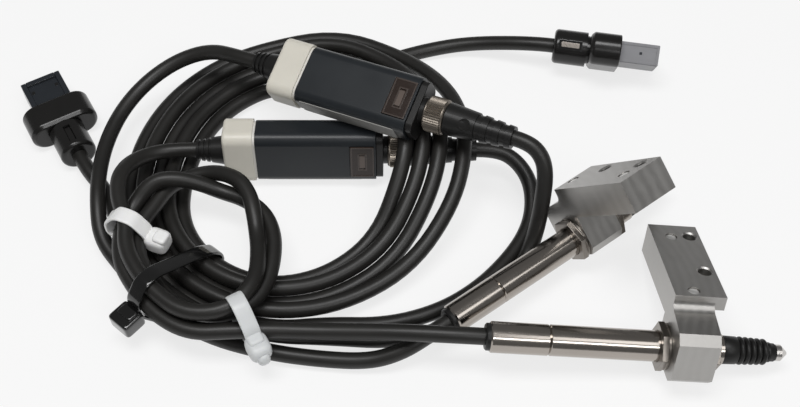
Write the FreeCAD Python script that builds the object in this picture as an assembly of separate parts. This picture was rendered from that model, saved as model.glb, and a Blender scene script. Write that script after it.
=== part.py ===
import FreeCAD, Part
import os
from math import cos, pi, radians, sin, sqrt, tan

# Two pencil type contact sensors with their relay boxes and cables, tied up in one bundle.
# Units are millimetres. X runs to the right, Y away from the viewer and Z up from the bench.

os.makedirs("parts", exist_ok=True)

V = FreeCAD.Vector

# Driving sizes of the sensor head, along its own X from the bracket's rear face towards the tip
SLEEVE_R = 4.0
SLEEVE_WALL = 0.8
SLEEVE_REAR = 45.0
SEAM_REAR = 30.0
SEAM_BEVEL = 0.35
NOSE_FRONT = 14.2
GLAND_LIP = 1.2
GLAND_DEPTH = 4.0
GLAND_LIP_R = 3.5
READER_LENGTH = 10.0
SPINDLE_R = 1.5
SPINDLE_COLLAR_R = 2.7
SPINDLE_COLLAR = 3.0
STROKE = 5.0
SPRING_FREE = 14.0
SPRING_WALL = 0.6
SPRING_SEAT = 2.0
BUSH_LENGTH = 8.0
BELLOWS_LENGTH = 11.8
BELLOWS_COLLAR = 4.2
BELLOWS_R = 3.65
BELLOWS_RIBS = 5
BELLOWS_WALL = 0.7
BELLOWS_RIB_DEPTH = 0.8
CUFF_LENGTH = 2.4
CUFF_R = 2.55
TIP_LENGTH = 3.2
TIP_R = 2.1
TIP_CYLINDER = 1.4
TIP_POINT_R = 0.8

# Clamp nuts on both faces of the bracket
NUT_FLATS = 11.0
NUT_THICK = 2.2
NUT_LIP = 0.6
NUT_LIP_R = 6.0

# Bracket: a plate with four holes, a stepped neck and a clamp block with the bore
PLATE_LENGTH = 33.0
PLATE_WIDTH = 13.2
PLATE_THICK = 8.6
CLAMP_WIDTH = 10.5
CLAMP_LENGTH = 15.5
CLAMP_REACH = 11.0
CLAMP_HEIGHT = 20.0
CLAMP_CHAMFER = 2.0
BORE_FROM_END = 9.2
BORE_DROP = 14.8
NECK_NOTCH = 2.5
NECK_DROP = 4.0
SHOULDER_DROP = 5.2
SHOULDER_CHAMFER = 2.2
LIP_THICK = 3.9
LIP_LENGTH = 8.0
SCREW_HOLE_R = 1.7
SCREW_RIM = 0.4
SCREW_SPACING = 16.5
SCREW_FROM_END = 5.0
SCREW_FROM_BACK = 10.3
DOWEL_R = 1.6
DOWEL_DEPTH = 5.0
DOWEL_SPACING = 25.0
DOWEL_FROM_END = 5.6
DOWEL_FROM_BACK = 5.2
BRACKET_SHIFT = PLATE_WIDTH - CLAMP_WIDTH

# Relay box
BOX_LENGTH = 45.0
BOX_WIDTH = 17.0
BOX_THICK = 10.0
BOX_ROUND = 3.0
BOX_WALL = 1.6
CAP_LENGTH = 8.5
CAP_OVERHANG = 0.3
CAP_ROUND = 1.0
GASKET_LENGTH = 0.7
GASKET_INSET = 0.3
END_PLATE = 2.0
END_PLATE_INSET = 0.7
WINDOW_LENGTH = 6.5
WINDOW_WIDTH = 11.0
WINDOW_DEPTH = 1.0
WINDOW_RISE = 0.3
WINDOW_MARGIN = 0.8
SLOT_LENGTH = 1.8
SLOT_WIDTH = 5.5
BOARD_THICK = 1.2
BOOT_LENGTH = 8.0
BOOT_BASE_R = 4.2
BOOT_END_R = 2.9
BOOT_RIBS = 3
RIB_DEPTH = 0.4
RIBBED_SHARE = 0.55

# Screw coupling between the box and its plug
SPIGOT_LENGTH = 4.0
SPIGOT_R = 3.95
COUPLING_R = 5.0
COUPLING_LENGTH = 5.9
COUPLING_GAP = 1.3
COUPLING_BEVEL = 0.4
PLUG_FLANGE = 1.2
PLUG_NECK_R = 3.0
PLUG_LENGTH = 19.0
PLUG_R = 4.6
PLUG_END_R = 3.1
PLUG_RIBS = 3

# Amplifier connector
BARREL_LENGTH = 10.0
BARREL_R = 5.2
BARREL_ROUND = 1.2
LATCH_LENGTH = 6.0
LATCH_WIDTH = 1.8
LATCH_DEPTH = 0.9
GROOVE_LENGTH = 0.8
GROOVE_DEPTH = 1.0
COLLAR_LENGTH = 9.0
COLLAR_WIDTH = 20.0
COLLAR_THICK = 9.8
COLLAR_ROUND = 4.6
COLLAR_BEVEL = 1.0
INSERT_LENGTH = 11.5
INSERT_WIDTH = 12.0
INSERT_THICK = 6.3
INSERT_RAIL = 0.8

# Fits between pieces
RUNNING_FIT = 0.05
SEAT_GAP = 0.1
END_PLAY = 0.3

# How far a cutter runs past the face it opens
SPARE = 1.0

# Cables: one diameter, a tied coil on the bench and a small ring of the same cable on top of it
CORD_R = 2.2
CORNER_SHARE = 0.45
LEAD = 6.0
SHORT_LEAD = 4.5
STRAND_PITCH = 4.7
COIL_CENTRE = V(-26.4, 9.3, 0)
COIL_INNER_R = 30.0
COIL_STRANDS = 7
COIL_FLOOR = 1.5
COIL_AXIS = COIL_FLOOR + CORD_R
RING_CENTRE = V(-54.5, -19.5, 0)
RING_R = 18.5
RING_STRANDS = 2
RING_FLOOR = 7.7
RING_AXIS = RING_FLOOR + CORD_R
RING_HALF = RING_STRANDS * STRAND_PITCH / 2

# Angles about the coil's centre, in degrees: its end faces, and where one more strand joins it
COIL_TOP = 110
STEP_ONE = 205
STEP_TWO = 214
COIL_BOTTOM = 262

# Cable ties: two small ones round the ring, one round the ring and the coil
TIE_WIDTH = 4.6
TIE_THICK = 1.1
TIE_GAP = 0.2
TIE_SINK = 0.6
TIE_HEAD_LENGTH = 6.6
TIE_HEAD_HEIGHT = 5.4
TIE_HEAD_WIDTH = 5.8
TIE_HEAD_ROUND = 2.0
LOCK_LENGTH = 6.5
LOCK_HEIGHT = 5.0
LOCK_WIDTH = 7.0
LOCK_ROUND = 0.8
LOCK_FLOOR = 6.0
EXIT_ROOM = 3.6
LEFT_TIE_ANGLE = 172
EXIT_TIE_ANGLE = -62
BUNDLE_TIE_ANGLE = 232

# Where the pieces lie on the bench
HEAD_1_X = 49.7
HEAD_1_Y = -16.2
HEAD_2_X = 67.3
HEAD_2_Y = -51.0
BOX_A_X = -34.0
BOX_A_Y = 31.5
BOX_A_Z = 22.0
BOX_B_X = -49.8
BOX_B_Y = 12.0
BOX_B_Z = 9.6
END_A_X = -92.5
END_A_Y = 13.3
END_B_X = 46.9
END_B_Y = 52.5
END_B_Z = 9.2

# Bench point that becomes the origin
BENCH_MIDDLE = V(20.48, -10.68, 0.0)


def spun(edges):
    """A solid of revolution about the X axis from the edges of a closed outline."""
    wire = Part.Wire([e.toShape() for e in edges])
    return Part.Face(wire).revolve(V(0, 0, 0), V(1, 0, 0), 360)


def turned(profile):
    """A solid of revolution about the X axis from the (along, radius) corners of a closed outline."""
    wire = Part.makePolygon([V(x, 0, r) for x, r in profile + profile[:1]])
    return Part.Face(wire).revolve(V(0, 0, 0), V(1, 0, 0), 360)


def bar(x0, x1, radius):
    """A plain round bar along X."""
    return Part.makeCylinder(radius, x1 - x0, V(x0, 0, 0), V(1, 0, 0))


def pipe(x0, x1, outer, inner):
    """A plain round pipe along X."""
    return bar(x0, x1, outer).cut(bar(x0, x1, inner))


def rounded_block(x0, x1, width, thick, radius):
    """A bar along X whose section is a rectangle with round corners."""
    block = Part.makeBox(x1 - x0, width, thick, V(x0, -width / 2, -thick / 2))
    long_edges = [e for e in block.Edges if abs(e.tangentAt(e.FirstParameter).x) > 0.9]
    return block.makeFillet(radius, long_edges)


def hexagon(x0, x1, flats):
    """A hexagonal bar along X."""
    corner = flats / 2 / cos(radians(30))
    points = [V(x0, corner * cos(radians(60 * i)), corner * sin(radians(60 * i))) for i in range(7)]
    return Part.Face(Part.makePolygon(points)).extrude(V(x1 - x0, 0, 0))


# Sensor head

def rear_sleeve():
    """Rear half of the stainless housing, bevelled at the seam."""
    rear = -SLEEVE_REAR
    seam = -SEAM_REAR
    inner = SLEEVE_R - SLEEVE_WALL
    return turned([
        (rear, inner), (rear, SLEEVE_R - SEAM_BEVEL), (rear + SEAM_BEVEL, SLEEVE_R),
        (seam - SEAM_BEVEL, SLEEVE_R), (seam, SLEEVE_R - SEAM_BEVEL), (seam, inner)])


def front_sleeve():
    """Front half of the housing with the spring's seat inside."""
    seam = -SEAM_REAR
    inner = SLEEVE_R - SLEEVE_WALL
    seat = SPINDLE_R + END_PLAY
    return turned([
        (seam, seat), (seam, SLEEVE_R - SEAM_BEVEL), (seam + SEAM_BEVEL, SLEEVE_R),
        (NOSE_FRONT, SLEEVE_R), (NOSE_FRONT, inner), (seam + SPRING_SEAT, inner),
        (seam + SPRING_SEAT, seat)])


def rear_gland():
    """Moulded gland that closes the housing where the cable enters."""
    rear = -SLEEVE_REAR
    plug = SLEEVE_R - SLEEVE_WALL - SEAT_GAP
    return turned([
        (rear - GLAND_LIP, 0), (rear - GLAND_LIP, GLAND_LIP_R - SEAM_BEVEL),
        (rear - GLAND_LIP + SEAM_BEVEL, GLAND_LIP_R), (rear, GLAND_LIP_R), (rear, plug),
        (rear + GLAND_DEPTH, plug), (rear + GLAND_DEPTH, 0)])


def reader():
    """Half round carrier of the scale reader, seated against the gland."""
    start = -SLEEVE_REAR + GLAND_DEPTH
    radius = SLEEVE_R - SLEEVE_WALL - SEAT_GAP
    half = Part.makeBox(READER_LENGTH, 2 * radius, radius, V(start, -radius, -radius))
    return bar(start, start + READER_LENGTH, radius).common(half)


def spring_end():
    """Where the return spring meets the spindle's collar."""
    return -SEAM_REAR + SPRING_SEAT + SPRING_FREE


def cuff_front():
    """Front end of the bellows' cuff, where the contact tip sits."""
    return NOSE_FRONT + BELLOWS_LENGTH + CUFF_LENGTH


def spindle():
    """Sliding spindle with the collar that the spring pushes."""
    collar = spring_end()
    rear = -SEAM_REAR + STROKE + END_PLAY
    return turned([
        (rear, 0), (rear, SPINDLE_R), (collar, SPINDLE_R), (collar, SPINDLE_COLLAR_R),
        (collar + SPINDLE_COLLAR, SPINDLE_COLLAR_R), (collar + SPINDLE_COLLAR, SPINDLE_R),
        (cuff_front(), SPINDLE_R), (cuff_front(), 0)])


def return_spring():
    """Outer shape of the coil spring behind the spindle's collar."""
    start = -SEAM_REAR + SPRING_SEAT
    inner = SPINDLE_COLLAR_R - SPRING_WALL
    return pipe(start, spring_end(), SPINDLE_COLLAR_R, inner)


def guide_bush():
    """Plain bearing of the spindle in the nose."""
    outer = SLEEVE_R - SLEEVE_WALL - RUNNING_FIT
    return pipe(NOSE_FRONT - BUSH_LENGTH, NOSE_FRONT, outer, SPINDLE_R + RUNNING_FIT)


def bellows():
    """Rubber bellows: smooth collar, round ribs and the cuff that grips the spindle."""
    start = NOSE_FRONT
    ribs = start + BELLOWS_COLLAR
    end = start + BELLOWS_LENGTH
    pitch = (end - ribs) / BELLOWS_RIBS
    low = BELLOWS_R - BELLOWS_RIB_DEPTH
    grip = SPINDLE_R + RUNNING_FIT
    hollow = low - BELLOWS_WALL
    edges = [Part.LineSegment(V(start, 0, hollow), V(start, 0, BELLOWS_R)),
             Part.LineSegment(V(start, 0, BELLOWS_R), V(ribs, 0, BELLOWS_R)),
             Part.LineSegment(V(ribs, 0, BELLOWS_R), V(ribs, 0, low))]
    for i in range(BELLOWS_RIBS):
        x = ribs + i * pitch
        edges.append(Part.Arc(V(x, 0, low), V(x + pitch / 2, 0, BELLOWS_R), V(x + pitch, 0, low)))
    corners = [(end, low), (end, CUFF_R), (end + CUFF_LENGTH, CUFF_R), (end + CUFF_LENGTH, grip),
               (end - BELLOWS_WALL, grip), (end - BELLOWS_WALL, hollow), (start, hollow)]
    points = [V(x, 0, r) for x, r in corners]
    edges += [Part.LineSegment(p, q) for p, q in zip(points, points[1:])]
    return spun(edges)


def contact_tip():
    """Steel contact: a short cylinder, a cone and a round point."""
    base = cuff_front()
    point = base + TIP_LENGTH
    cone = base + TIP_CYLINDER
    ball = V(point - TIP_POINT_R * (1 - cos(radians(45))), 0, TIP_POINT_R * sin(radians(45)))
    rim = V(point - TIP_POINT_R * (1 - cos(radians(20))), 0, TIP_POINT_R * sin(radians(20)))
    edges = [Part.LineSegment(V(base, 0, 0), V(base, 0, TIP_R)),
             Part.LineSegment(V(base, 0, TIP_R), V(cone, 0, TIP_R)),
             Part.LineSegment(V(cone, 0, TIP_R), ball),
             Part.Arc(ball, rim, V(point, 0, 0)),
             Part.LineSegment(V(point, 0, 0), V(base, 0, 0))]
    return spun(edges)


def clamp_nut(face, way):
    """Flanged hexagon nut against one face of the bracket; way is +1 in front and -1 behind."""
    lip = bar(0, NUT_LIP, NUT_LIP_R)
    nut = lip.fuse(hexagon(NUT_LIP, NUT_THICK, NUT_FLATS)).removeSplitter()
    nut = nut.cut(bar(-SPARE, NUT_THICK + SPARE, SLEEVE_R + RUNNING_FIT))
    if way < 0:
        nut.rotate(V(0, 0, 0), V(0, 0, 1), 180)
    nut.translate(V(face, 0, 0))
    return nut


def bracket():
    """Machined bracket: plate, notched neck and clamp block in one profile; the plate is the wider part."""
    end = PLATE_LENGTH + CLAMP_REACH
    bore_at = end - BORE_FROM_END

    def at(along, drop, x=0.0):
        return V(x, bore_at - along, BORE_DROP - drop)

    block = end - CLAMP_LENGTH
    notch = PLATE_LENGTH + NECK_NOTCH
    arc_mid = at(notch - NECK_NOTCH * cos(radians(45)), NECK_DROP - NECK_NOTCH * (1 - sin(radians(45))))
    top = [Part.LineSegment(at(0, 0), at(PLATE_LENGTH, 0)),
           Part.LineSegment(at(PLATE_LENGTH, 0), at(PLATE_LENGTH, NECK_DROP - NECK_NOTCH)),
           Part.Arc(at(PLATE_LENGTH, NECK_DROP - NECK_NOTCH), arc_mid, at(notch, NECK_DROP))]
    corners = [at(notch, NECK_DROP), at(end - SHOULDER_CHAMFER, SHOULDER_DROP),
               at(end, SHOULDER_DROP + SHOULDER_CHAMFER), at(end, CLAMP_HEIGHT - CLAMP_CHAMFER),
               at(end - CLAMP_CHAMFER, CLAMP_HEIGHT), at(block + CLAMP_CHAMFER, CLAMP_HEIGHT),
               at(block, CLAMP_HEIGHT - CLAMP_CHAMFER), at(block, PLATE_THICK), at(0, PLATE_THICK),
               at(0, 0)]
    edges = top + [Part.LineSegment(p, q) for p, q in zip(corners, corners[1:])]
    body = Part.Face(Part.Wire([e.toShape() for e in edges])).extrude(V(CLAMP_WIDTH, 0, 0))
    plate = [at(0, 0), at(PLATE_LENGTH, 0), at(PLATE_LENGTH, PLATE_THICK), at(0, PLATE_THICK), at(0, 0)]
    body = body.fuse(Part.Face(Part.makePolygon(plate)).extrude(V(PLATE_WIDTH, 0, 0))).removeSplitter()
    body = body.cut(bar(-SPARE, CLAMP_WIDTH + SPARE, SLEEVE_R + RUNNING_FIT))
    body = body.cut(Part.makeBox(
        BRACKET_SHIFT + SPARE, LIP_LENGTH + SPARE, PLATE_THICK - LIP_THICK + SPARE,
        at(PLATE_LENGTH + SPARE, PLATE_THICK + SPARE, CLAMP_WIDTH)))
    for along in (SCREW_FROM_END, SCREW_FROM_END + SCREW_SPACING):
        screw = at(along, 0, SCREW_FROM_BACK)
        body = body.cut(Part.makeCylinder(SCREW_HOLE_R, PLATE_THICK + SPARE, screw, V(0, 0, -1)))
        body = body.cut(Part.makeCone(SCREW_HOLE_R + SCREW_RIM, SCREW_HOLE_R, SCREW_RIM, screw, V(0, 0, -1)))
    for along in (DOWEL_FROM_END, DOWEL_FROM_END + DOWEL_SPACING):
        dowel = at(along, 0, DOWEL_FROM_BACK)
        body = body.cut(Part.makeCylinder(DOWEL_R, DOWEL_DEPTH, dowel, V(0, 0, -1)))
    return body


# Relay box, along its own X from the cable boot to the plug, label face towards +Z

def box_front():
    """Where the moulded shell starts behind the cap and its gasket."""
    return CAP_LENGTH + GASKET_LENGTH


def shell_end():
    """Where the shell stops and the end plate starts."""
    return BOX_LENGTH - END_PLATE


def box_shell():
    """Moulded shell with round long edges, hollow for the board, with a pocket for the window."""
    start = box_front()
    end = shell_end()
    shell = rounded_block(start, end, BOX_WIDTH, BOX_THICK, BOX_ROUND)
    hollow = Part.makeBox(end - start - 2 * BOX_WALL, BOX_WIDTH - 2 * BOX_WALL, BOX_THICK - 2 * BOX_WALL,
                          V(start + BOX_WALL, BOX_WALL - BOX_WIDTH / 2, BOX_WALL - BOX_THICK / 2))
    pocket = Part.makeBox(WINDOW_LENGTH + 2 * SEAT_GAP, WINDOW_WIDTH + 2 * SEAT_GAP, WINDOW_DEPTH + SPARE,
                          V(end - WINDOW_MARGIN - WINDOW_LENGTH - SEAT_GAP, -WINDOW_WIDTH / 2 - SEAT_GAP,
                            BOX_THICK / 2 - WINDOW_DEPTH))
    return shell.cut(hollow).cut(pocket)


def window():
    """Tinted lamp window in the shell's pocket, with a raised frame round its slot."""
    end = shell_end() - WINDOW_MARGIN
    low = BOX_THICK / 2 - WINDOW_DEPTH
    pane = Part.makeBox(WINDOW_LENGTH, WINDOW_WIDTH, WINDOW_DEPTH + WINDOW_RISE,
                        V(end - WINDOW_LENGTH, -WINDOW_WIDTH / 2, low))
    slot = Part.makeBox(SLOT_LENGTH, SLOT_WIDTH, WINDOW_RISE + SPARE,
                        V(end - (WINDOW_LENGTH + SLOT_LENGTH) / 2, -SLOT_WIDTH / 2, low + WINDOW_DEPTH))
    return pane.cut(slot)


def circuit_board():
    """Board inside the shell, held between its side walls."""
    start = box_front() + BOX_WALL + SEAT_GAP
    length = shell_end() - BOX_WALL - SEAT_GAP - start
    width = BOX_WIDTH - 2 * BOX_WALL - 2 * SEAT_GAP
    return Part.makeBox(length, width, BOARD_THICK, V(start, -width / 2, -BOARD_THICK / 2))


def lamp_cap():
    """Milky end cap, a little larger than the shell, with round outer edges."""
    width = BOX_WIDTH + 2 * CAP_OVERHANG
    thick = BOX_THICK + 2 * CAP_OVERHANG
    cap = rounded_block(0, CAP_LENGTH, width, thick, BOX_ROUND)
    rim = [e for e in cap.Edges if max(v.X for v in e.Vertexes) < 0.01]
    return cap.makeFillet(CAP_ROUND, rim)


def gasket():
    """Thin seal between the cap and the shell."""
    width = BOX_WIDTH - 2 * GASKET_INSET
    thick = BOX_THICK - 2 * GASKET_INSET
    return rounded_block(CAP_LENGTH, box_front(), width, thick, BOX_ROUND - GASKET_INSET)


def socket():
    """End plate of the box with the threaded spigot for the plug."""
    width = BOX_WIDTH - 2 * END_PLATE_INSET
    thick = BOX_THICK - 2 * END_PLATE_INSET
    plate = rounded_block(shell_end(), BOX_LENGTH, width, thick, BOX_ROUND - END_PLATE_INSET)
    return plate.fuse(bar(BOX_LENGTH, BOX_LENGTH + SPIGOT_LENGTH, SPIGOT_R)).removeSplitter()


def ribbed_cone(x0, x1, r0, r1, ribs):
    """Moulded strain relief: a cone with ring grooves over its thin half."""
    pitch = abs(x1 - x0) * RIBBED_SHARE / (2 * ribs)
    way = 1 if x1 > x0 else -1

    def radius(x):
        return r0 + (r1 - r0) * (x - x0) / (x1 - x0)

    profile = [(x0, 0), (x0, r0)]
    groove = x1 - way * 2 * ribs * pitch
    for i in range(ribs):
        a = groove + way * 2 * i * pitch
        b = a + way * pitch
        profile += [(a, radius(a)), (a, radius(a) - RIB_DEPTH), (b, radius(b) - RIB_DEPTH), (b, radius(b))]
    profile += [(x1, r1), (x1, 0)]
    return turned(profile)


def boot():
    """Ribbed boot on the cable's side of the box."""
    return ribbed_cone(0, -BOOT_LENGTH, BOOT_BASE_R, BOOT_END_R, BOOT_RIBS)


def plug_start():
    """Face where plug and spigot meet."""
    return BOX_LENGTH + SPIGOT_LENGTH


def coupling_start():
    """Rear edge of the coupling nut."""
    return BOX_LENGTH + COUPLING_GAP


def plug_neck_end():
    """End of the plug's neck, where the moulded grip starts."""
    return coupling_start() + COUPLING_LENGTH + END_PLAY


def plug_body():
    """Moulded plug: a flange inside the coupling nut, a neck and a ribbed tapered grip."""
    start = plug_start()
    neck = plug_neck_end()
    flange = bar(start, start + PLUG_FLANGE, SPIGOT_R)
    grip = ribbed_cone(neck, neck + PLUG_LENGTH, PLUG_R, PLUG_END_R, PLUG_RIBS)
    return flange.fuse(bar(start, neck, PLUG_NECK_R)).fuse(grip).removeSplitter()


def coupling_nut():
    """Round coupling nut that turns on the spigot and on the plug's neck."""
    start = coupling_start()
    end = start + COUPLING_LENGTH
    flange = plug_start() + PLUG_FLANGE + END_PLAY
    thread = SPIGOT_R + RUNNING_FIT
    neck = PLUG_NECK_R + RUNNING_FIT
    bevel = COUPLING_BEVEL
    return turned([
        (start, thread), (start, COUPLING_R - bevel), (start + bevel, COUPLING_R), (end - bevel, COUPLING_R),
        (end, COUPLING_R - bevel), (end, neck), (flange, neck), (flange, thread)])


# Amplifier connector, along its own X from the cable to the insert

def barrel():
    """Round rear housing with a latch pocket on top and a neck to the collar."""
    body = bar(0, BARREL_LENGTH, BARREL_R)
    rim = [e for e in body.Edges if e.isClosed() and e.CenterOfMass.x < 0.01]
    body = body.makeFillet(BARREL_ROUND, rim)
    neck = bar(BARREL_LENGTH, BARREL_LENGTH + GROOVE_LENGTH, BARREL_R - GROOVE_DEPTH)
    pocket = Part.makeBox(LATCH_LENGTH + 2 * SEAT_GAP, LATCH_WIDTH + 2 * SEAT_GAP, BARREL_R,
                          V((BARREL_LENGTH - LATCH_LENGTH) / 2 - SEAT_GAP, -LATCH_WIDTH / 2 - SEAT_GAP,
                            BARREL_R - 2 * LATCH_DEPTH))
    return body.fuse(neck).removeSplitter().cut(pocket)


def latch():
    """Metal lock bar in the barrel's pocket."""
    start = (BARREL_LENGTH - LATCH_LENGTH) / 2
    return Part.makeBox(LATCH_LENGTH, LATCH_WIDTH, LATCH_DEPTH,
                        V(start, -LATCH_WIDTH / 2, BARREL_R - 2 * LATCH_DEPTH))


def collar():
    """Wide front collar with half round sides and a bevelled rear edge."""
    start = BARREL_LENGTH + GROOVE_LENGTH
    block = rounded_block(start, start + COLLAR_LENGTH, COLLAR_WIDTH, COLLAR_THICK, COLLAR_ROUND)
    rear = [e for e in block.Edges if max(v.X for v in e.Vertexes) < start + 0.01]
    return block.makeChamfer(COLLAR_BEVEL, rear)


def insert():
    """Flat translucent insert with a guide rail along each edge."""
    start = BARREL_LENGTH + GROOVE_LENGTH + COLLAR_LENGTH
    side = -INSERT_WIDTH / 2
    top = INSERT_THICK / 2
    edge = 2 * INSERT_RAIL
    flat = Part.makeBox(INSERT_LENGTH, INSERT_WIDTH, INSERT_THICK, V(start, side, -top))
    groove = Part.makeBox(INSERT_LENGTH, INSERT_WIDTH - 2 * edge, INSERT_RAIL,
                          V(start + edge, side + edge, top - INSERT_RAIL))
    return flat.cut(groove)


# Cables

def point_on_coil(angle, strand, height):
    """A point of the big coil: angle in degrees about its centre, strand 0 is the innermost."""
    r = COIL_INNER_R + strand * STRAND_PITCH
    return COIL_CENTRE + V(r * cos(radians(angle)), r * sin(radians(angle)), height)


def tube(points, name):
    """Plain cable along straight runs joined by tangent arcs; prints its tightest bend."""
    edges = []
    here = points[0]
    bends = []
    for before, corner, after in zip(points, points[1:], points[2:]):
        into = corner - before
        out = after - corner
        half_turn = into.getAngle(out) / 2
        cut = CORNER_SHARE * min(into.Length, out.Length)
        into.normalize()
        out.normalize()
        first = corner - into * cut
        last = corner + out * cut
        bow = (out - into).normalize()
        radius = cut / tan(half_turn)
        middle = corner + bow * (radius / cos(half_turn) - radius)
        edges.append(Part.LineSegment(here, first).toShape())
        edges.append(Part.Arc(first, middle, last).toShape())
        here = last
        bends.append(radius)
    edges.append(Part.LineSegment(here, points[-1]).toShape())
    path = Part.Wire(edges)
    start = Part.Wire(Part.Circle(points[0], points[1] - points[0], CORD_R).toShape())
    solid = path.makePipeShell([start], True, False)
    share = solid.Volume / (pi * CORD_R ** 2 * path.Length)
    print("%s: length %.0f, tightest bend %.1f, volume share %.3f" % (name, path.Length, min(bends), share))
    return solid


def coil_sector(angle0, angle1, strands):
    """Outer shape of part of the big coil, from its innermost strand outwards."""
    r0 = COIL_INNER_R - STRAND_PITCH / 2
    r1 = COIL_INNER_R + (strands - 0.5) * STRAND_PITCH
    top = COIL_FLOOR + 2 * CORD_R
    corners = [V(r0, 0, COIL_FLOOR), V(r1, 0, COIL_FLOOR), V(r1, 0, top), V(r0, 0, top),
               V(r0, 0, COIL_FLOOR)]
    face = Part.Face(Part.makePolygon(corners))
    face.rotate(V(0, 0, 0), V(0, 0, 1), angle0)
    solid = face.revolve(V(0, 0, 0), V(0, 0, 1), angle1 - angle0)
    solid.translate(COIL_CENTRE)
    return solid


def big_coil():
    """Outer shape of the tied side of the big coil; cables join it at its end faces and steps."""
    coil = coil_sector(COIL_TOP, STEP_ONE, COIL_STRANDS - 2)
    coil = coil.fuse(coil_sector(STEP_ONE, STEP_TWO, COIL_STRANDS - 1))
    return coil.fuse(coil_sector(STEP_TWO, COIL_BOTTOM, COIL_STRANDS)).removeSplitter()


def small_coil():
    """Outer shape of the small coil that lies on the big one."""
    foot = RING_CENTRE + V(0, 0, RING_FLOOR)
    outer = Part.makeCylinder(RING_R + RING_HALF, 2 * CORD_R, foot)
    return outer.cut(Part.makeCylinder(RING_R - RING_HALF, 2 * CORD_R, foot))


def fan_strand(top_strand, side_strand, bottom_strand, hump):
    """Points of one strand of the big coil's free side, from its top end face over plug B to the bottom."""
    angles = (COIL_TOP, 82, 54, 28, 4, -22, -50, -76, COIL_BOTTOM - 360)
    share = (0, 0, 0.45, 0.9, 1, 1, 0.5, 0.05, 0)
    heights = (COIL_AXIS, 8, 9, 0.8 * hump, hump, 0.7 * hump, 5, COIL_AXIS, COIL_AXIS)
    points = []
    for angle, part, height in zip(angles, share, heights):
        ends = top_strand if angle > 0 else bottom_strand
        points.append(point_on_coil(angle, ends + (side_strand - ends) * part, height))
    return points


def band(section, width):
    """Closed strap round an opening given by (across, up) corners, as wide as stated along X."""
    inner = Part.makePolygon([V(0, y, z) for y, z in section + section[:1]])
    gap = Part.Face(inner).extrude(V(width, 0, 0))
    outer = Part.Face(inner.makeOffset2D(TIE_THICK)).extrude(V(width, 0, 0))
    strap = outer.cut(gap)
    strap.translate(V(-width / 2, 0, 0))
    return strap


def tie_head(y, z, length, height, width, radius):
    """Rounded lock head beside the strap."""
    head = Part.makeBox(width, length, height, V(-width / 2, y, z))
    return head.makeFillet(radius, [e for e in head.Edges if abs(e.tangentAt(e.FirstParameter).x) < 0.1])


def ring_tie(room, outside):
    """Strap round the ring's strands with some room at the outer edge; its head is outside or inside."""
    outer = -RING_R - RING_HALF - room - TIE_GAP
    inner = RING_HALF - RING_R + TIE_GAP
    low = RING_FLOOR - TIE_GAP
    high = RING_FLOOR + 2 * CORD_R + TIE_GAP
    strap = band([(outer, low), (inner, low), (inner, high), (outer, high)], TIE_WIDTH)
    start = outer - TIE_THICK + TIE_SINK - TIE_HEAD_LENGTH if outside else inner + TIE_THICK - TIE_SINK
    head = tie_head(start, low - TIE_THICK, TIE_HEAD_LENGTH, TIE_HEAD_HEIGHT, TIE_HEAD_WIDTH,
                    TIE_HEAD_ROUND)
    return strap.fuse(head).removeSplitter()


def bundle_tie():
    """Strap round all strands of the coil and over the ring, with a square lock at its outer end."""
    way = V(cos(radians(BUNDLE_TIE_ANGLE)), sin(radians(BUNDLE_TIE_ANGLE)), 0)
    between = RING_CENTRE - COIL_CENTRE
    along = between.dot(way)
    aside = between.cross(way).Length
    near = along + sqrt((RING_R - RING_HALF) ** 2 - (aside + TIE_WIDTH / 2) ** 2)
    far = along + sqrt((RING_R + RING_HALF) ** 2 - (aside - TIE_WIDTH / 2) ** 2) + TIE_GAP
    inner = COIL_INNER_R - STRAND_PITCH / 2 - TIE_GAP
    outer = COIL_INNER_R + (COIL_STRANDS - 0.5) * STRAND_PITCH + TIE_GAP
    low = COIL_FLOOR - TIE_GAP
    coil_top = COIL_FLOOR + 2 * CORD_R + TIE_GAP
    ring_top = RING_FLOOR + 2 * CORD_R + TIE_GAP
    strap = band([(-inner, low), (-inner, coil_top), (-near, ring_top), (-far, ring_top),
                  (-far, RING_FLOOR), (-outer, low)], TIE_WIDTH)
    start = TIE_SINK - far - TIE_THICK - LOCK_LENGTH
    lock = tie_head(start, LOCK_FLOOR, LOCK_LENGTH, LOCK_HEIGHT, LOCK_WIDTH, LOCK_ROUND)
    return strap.fuse(lock).removeSplitter()


# Places on the bench

def lie(x, y, z, yaw, pitch, roll):
    """A placement: turned about its own X, tilted nose down by pitch, then turned about Z."""
    return FreeCAD.Placement(V(x, y, z), FreeCAD.Rotation(yaw, pitch, roll))


def placed(shape, place):
    """A copy of a shape at its place on the bench."""
    copy = shape.copy()
    copy.Placement = place.multiply(copy.Placement)
    return copy


def on_bench(x, y, yaw, pitch, roll, foot):
    """A placement that lets the foot shape's lowest corner touch the bench."""
    place = lie(x, y, 0, yaw, pitch, roll)
    lowest = min(vertex.Z for vertex in placed(foot, place).Vertexes)
    return lie(x, y, -lowest, yaw, pitch, roll)


def export(name, shape):
    """Write one node in the shared frame."""
    moved = shape.copy()
    moved.translate(-BENCH_MIDDLE)
    moved.exportStep("parts/%s.step" % name)


# The two brackets are a right and a left hand piece; the left one sits further back on its sleeve
right_bracket = bracket()
left_bracket = right_bracket.mirror(V(0, 0, 0), V(0, 1, 0))
left_bracket.translate(V(-BRACKET_SHIFT, 0, 0))

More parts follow.
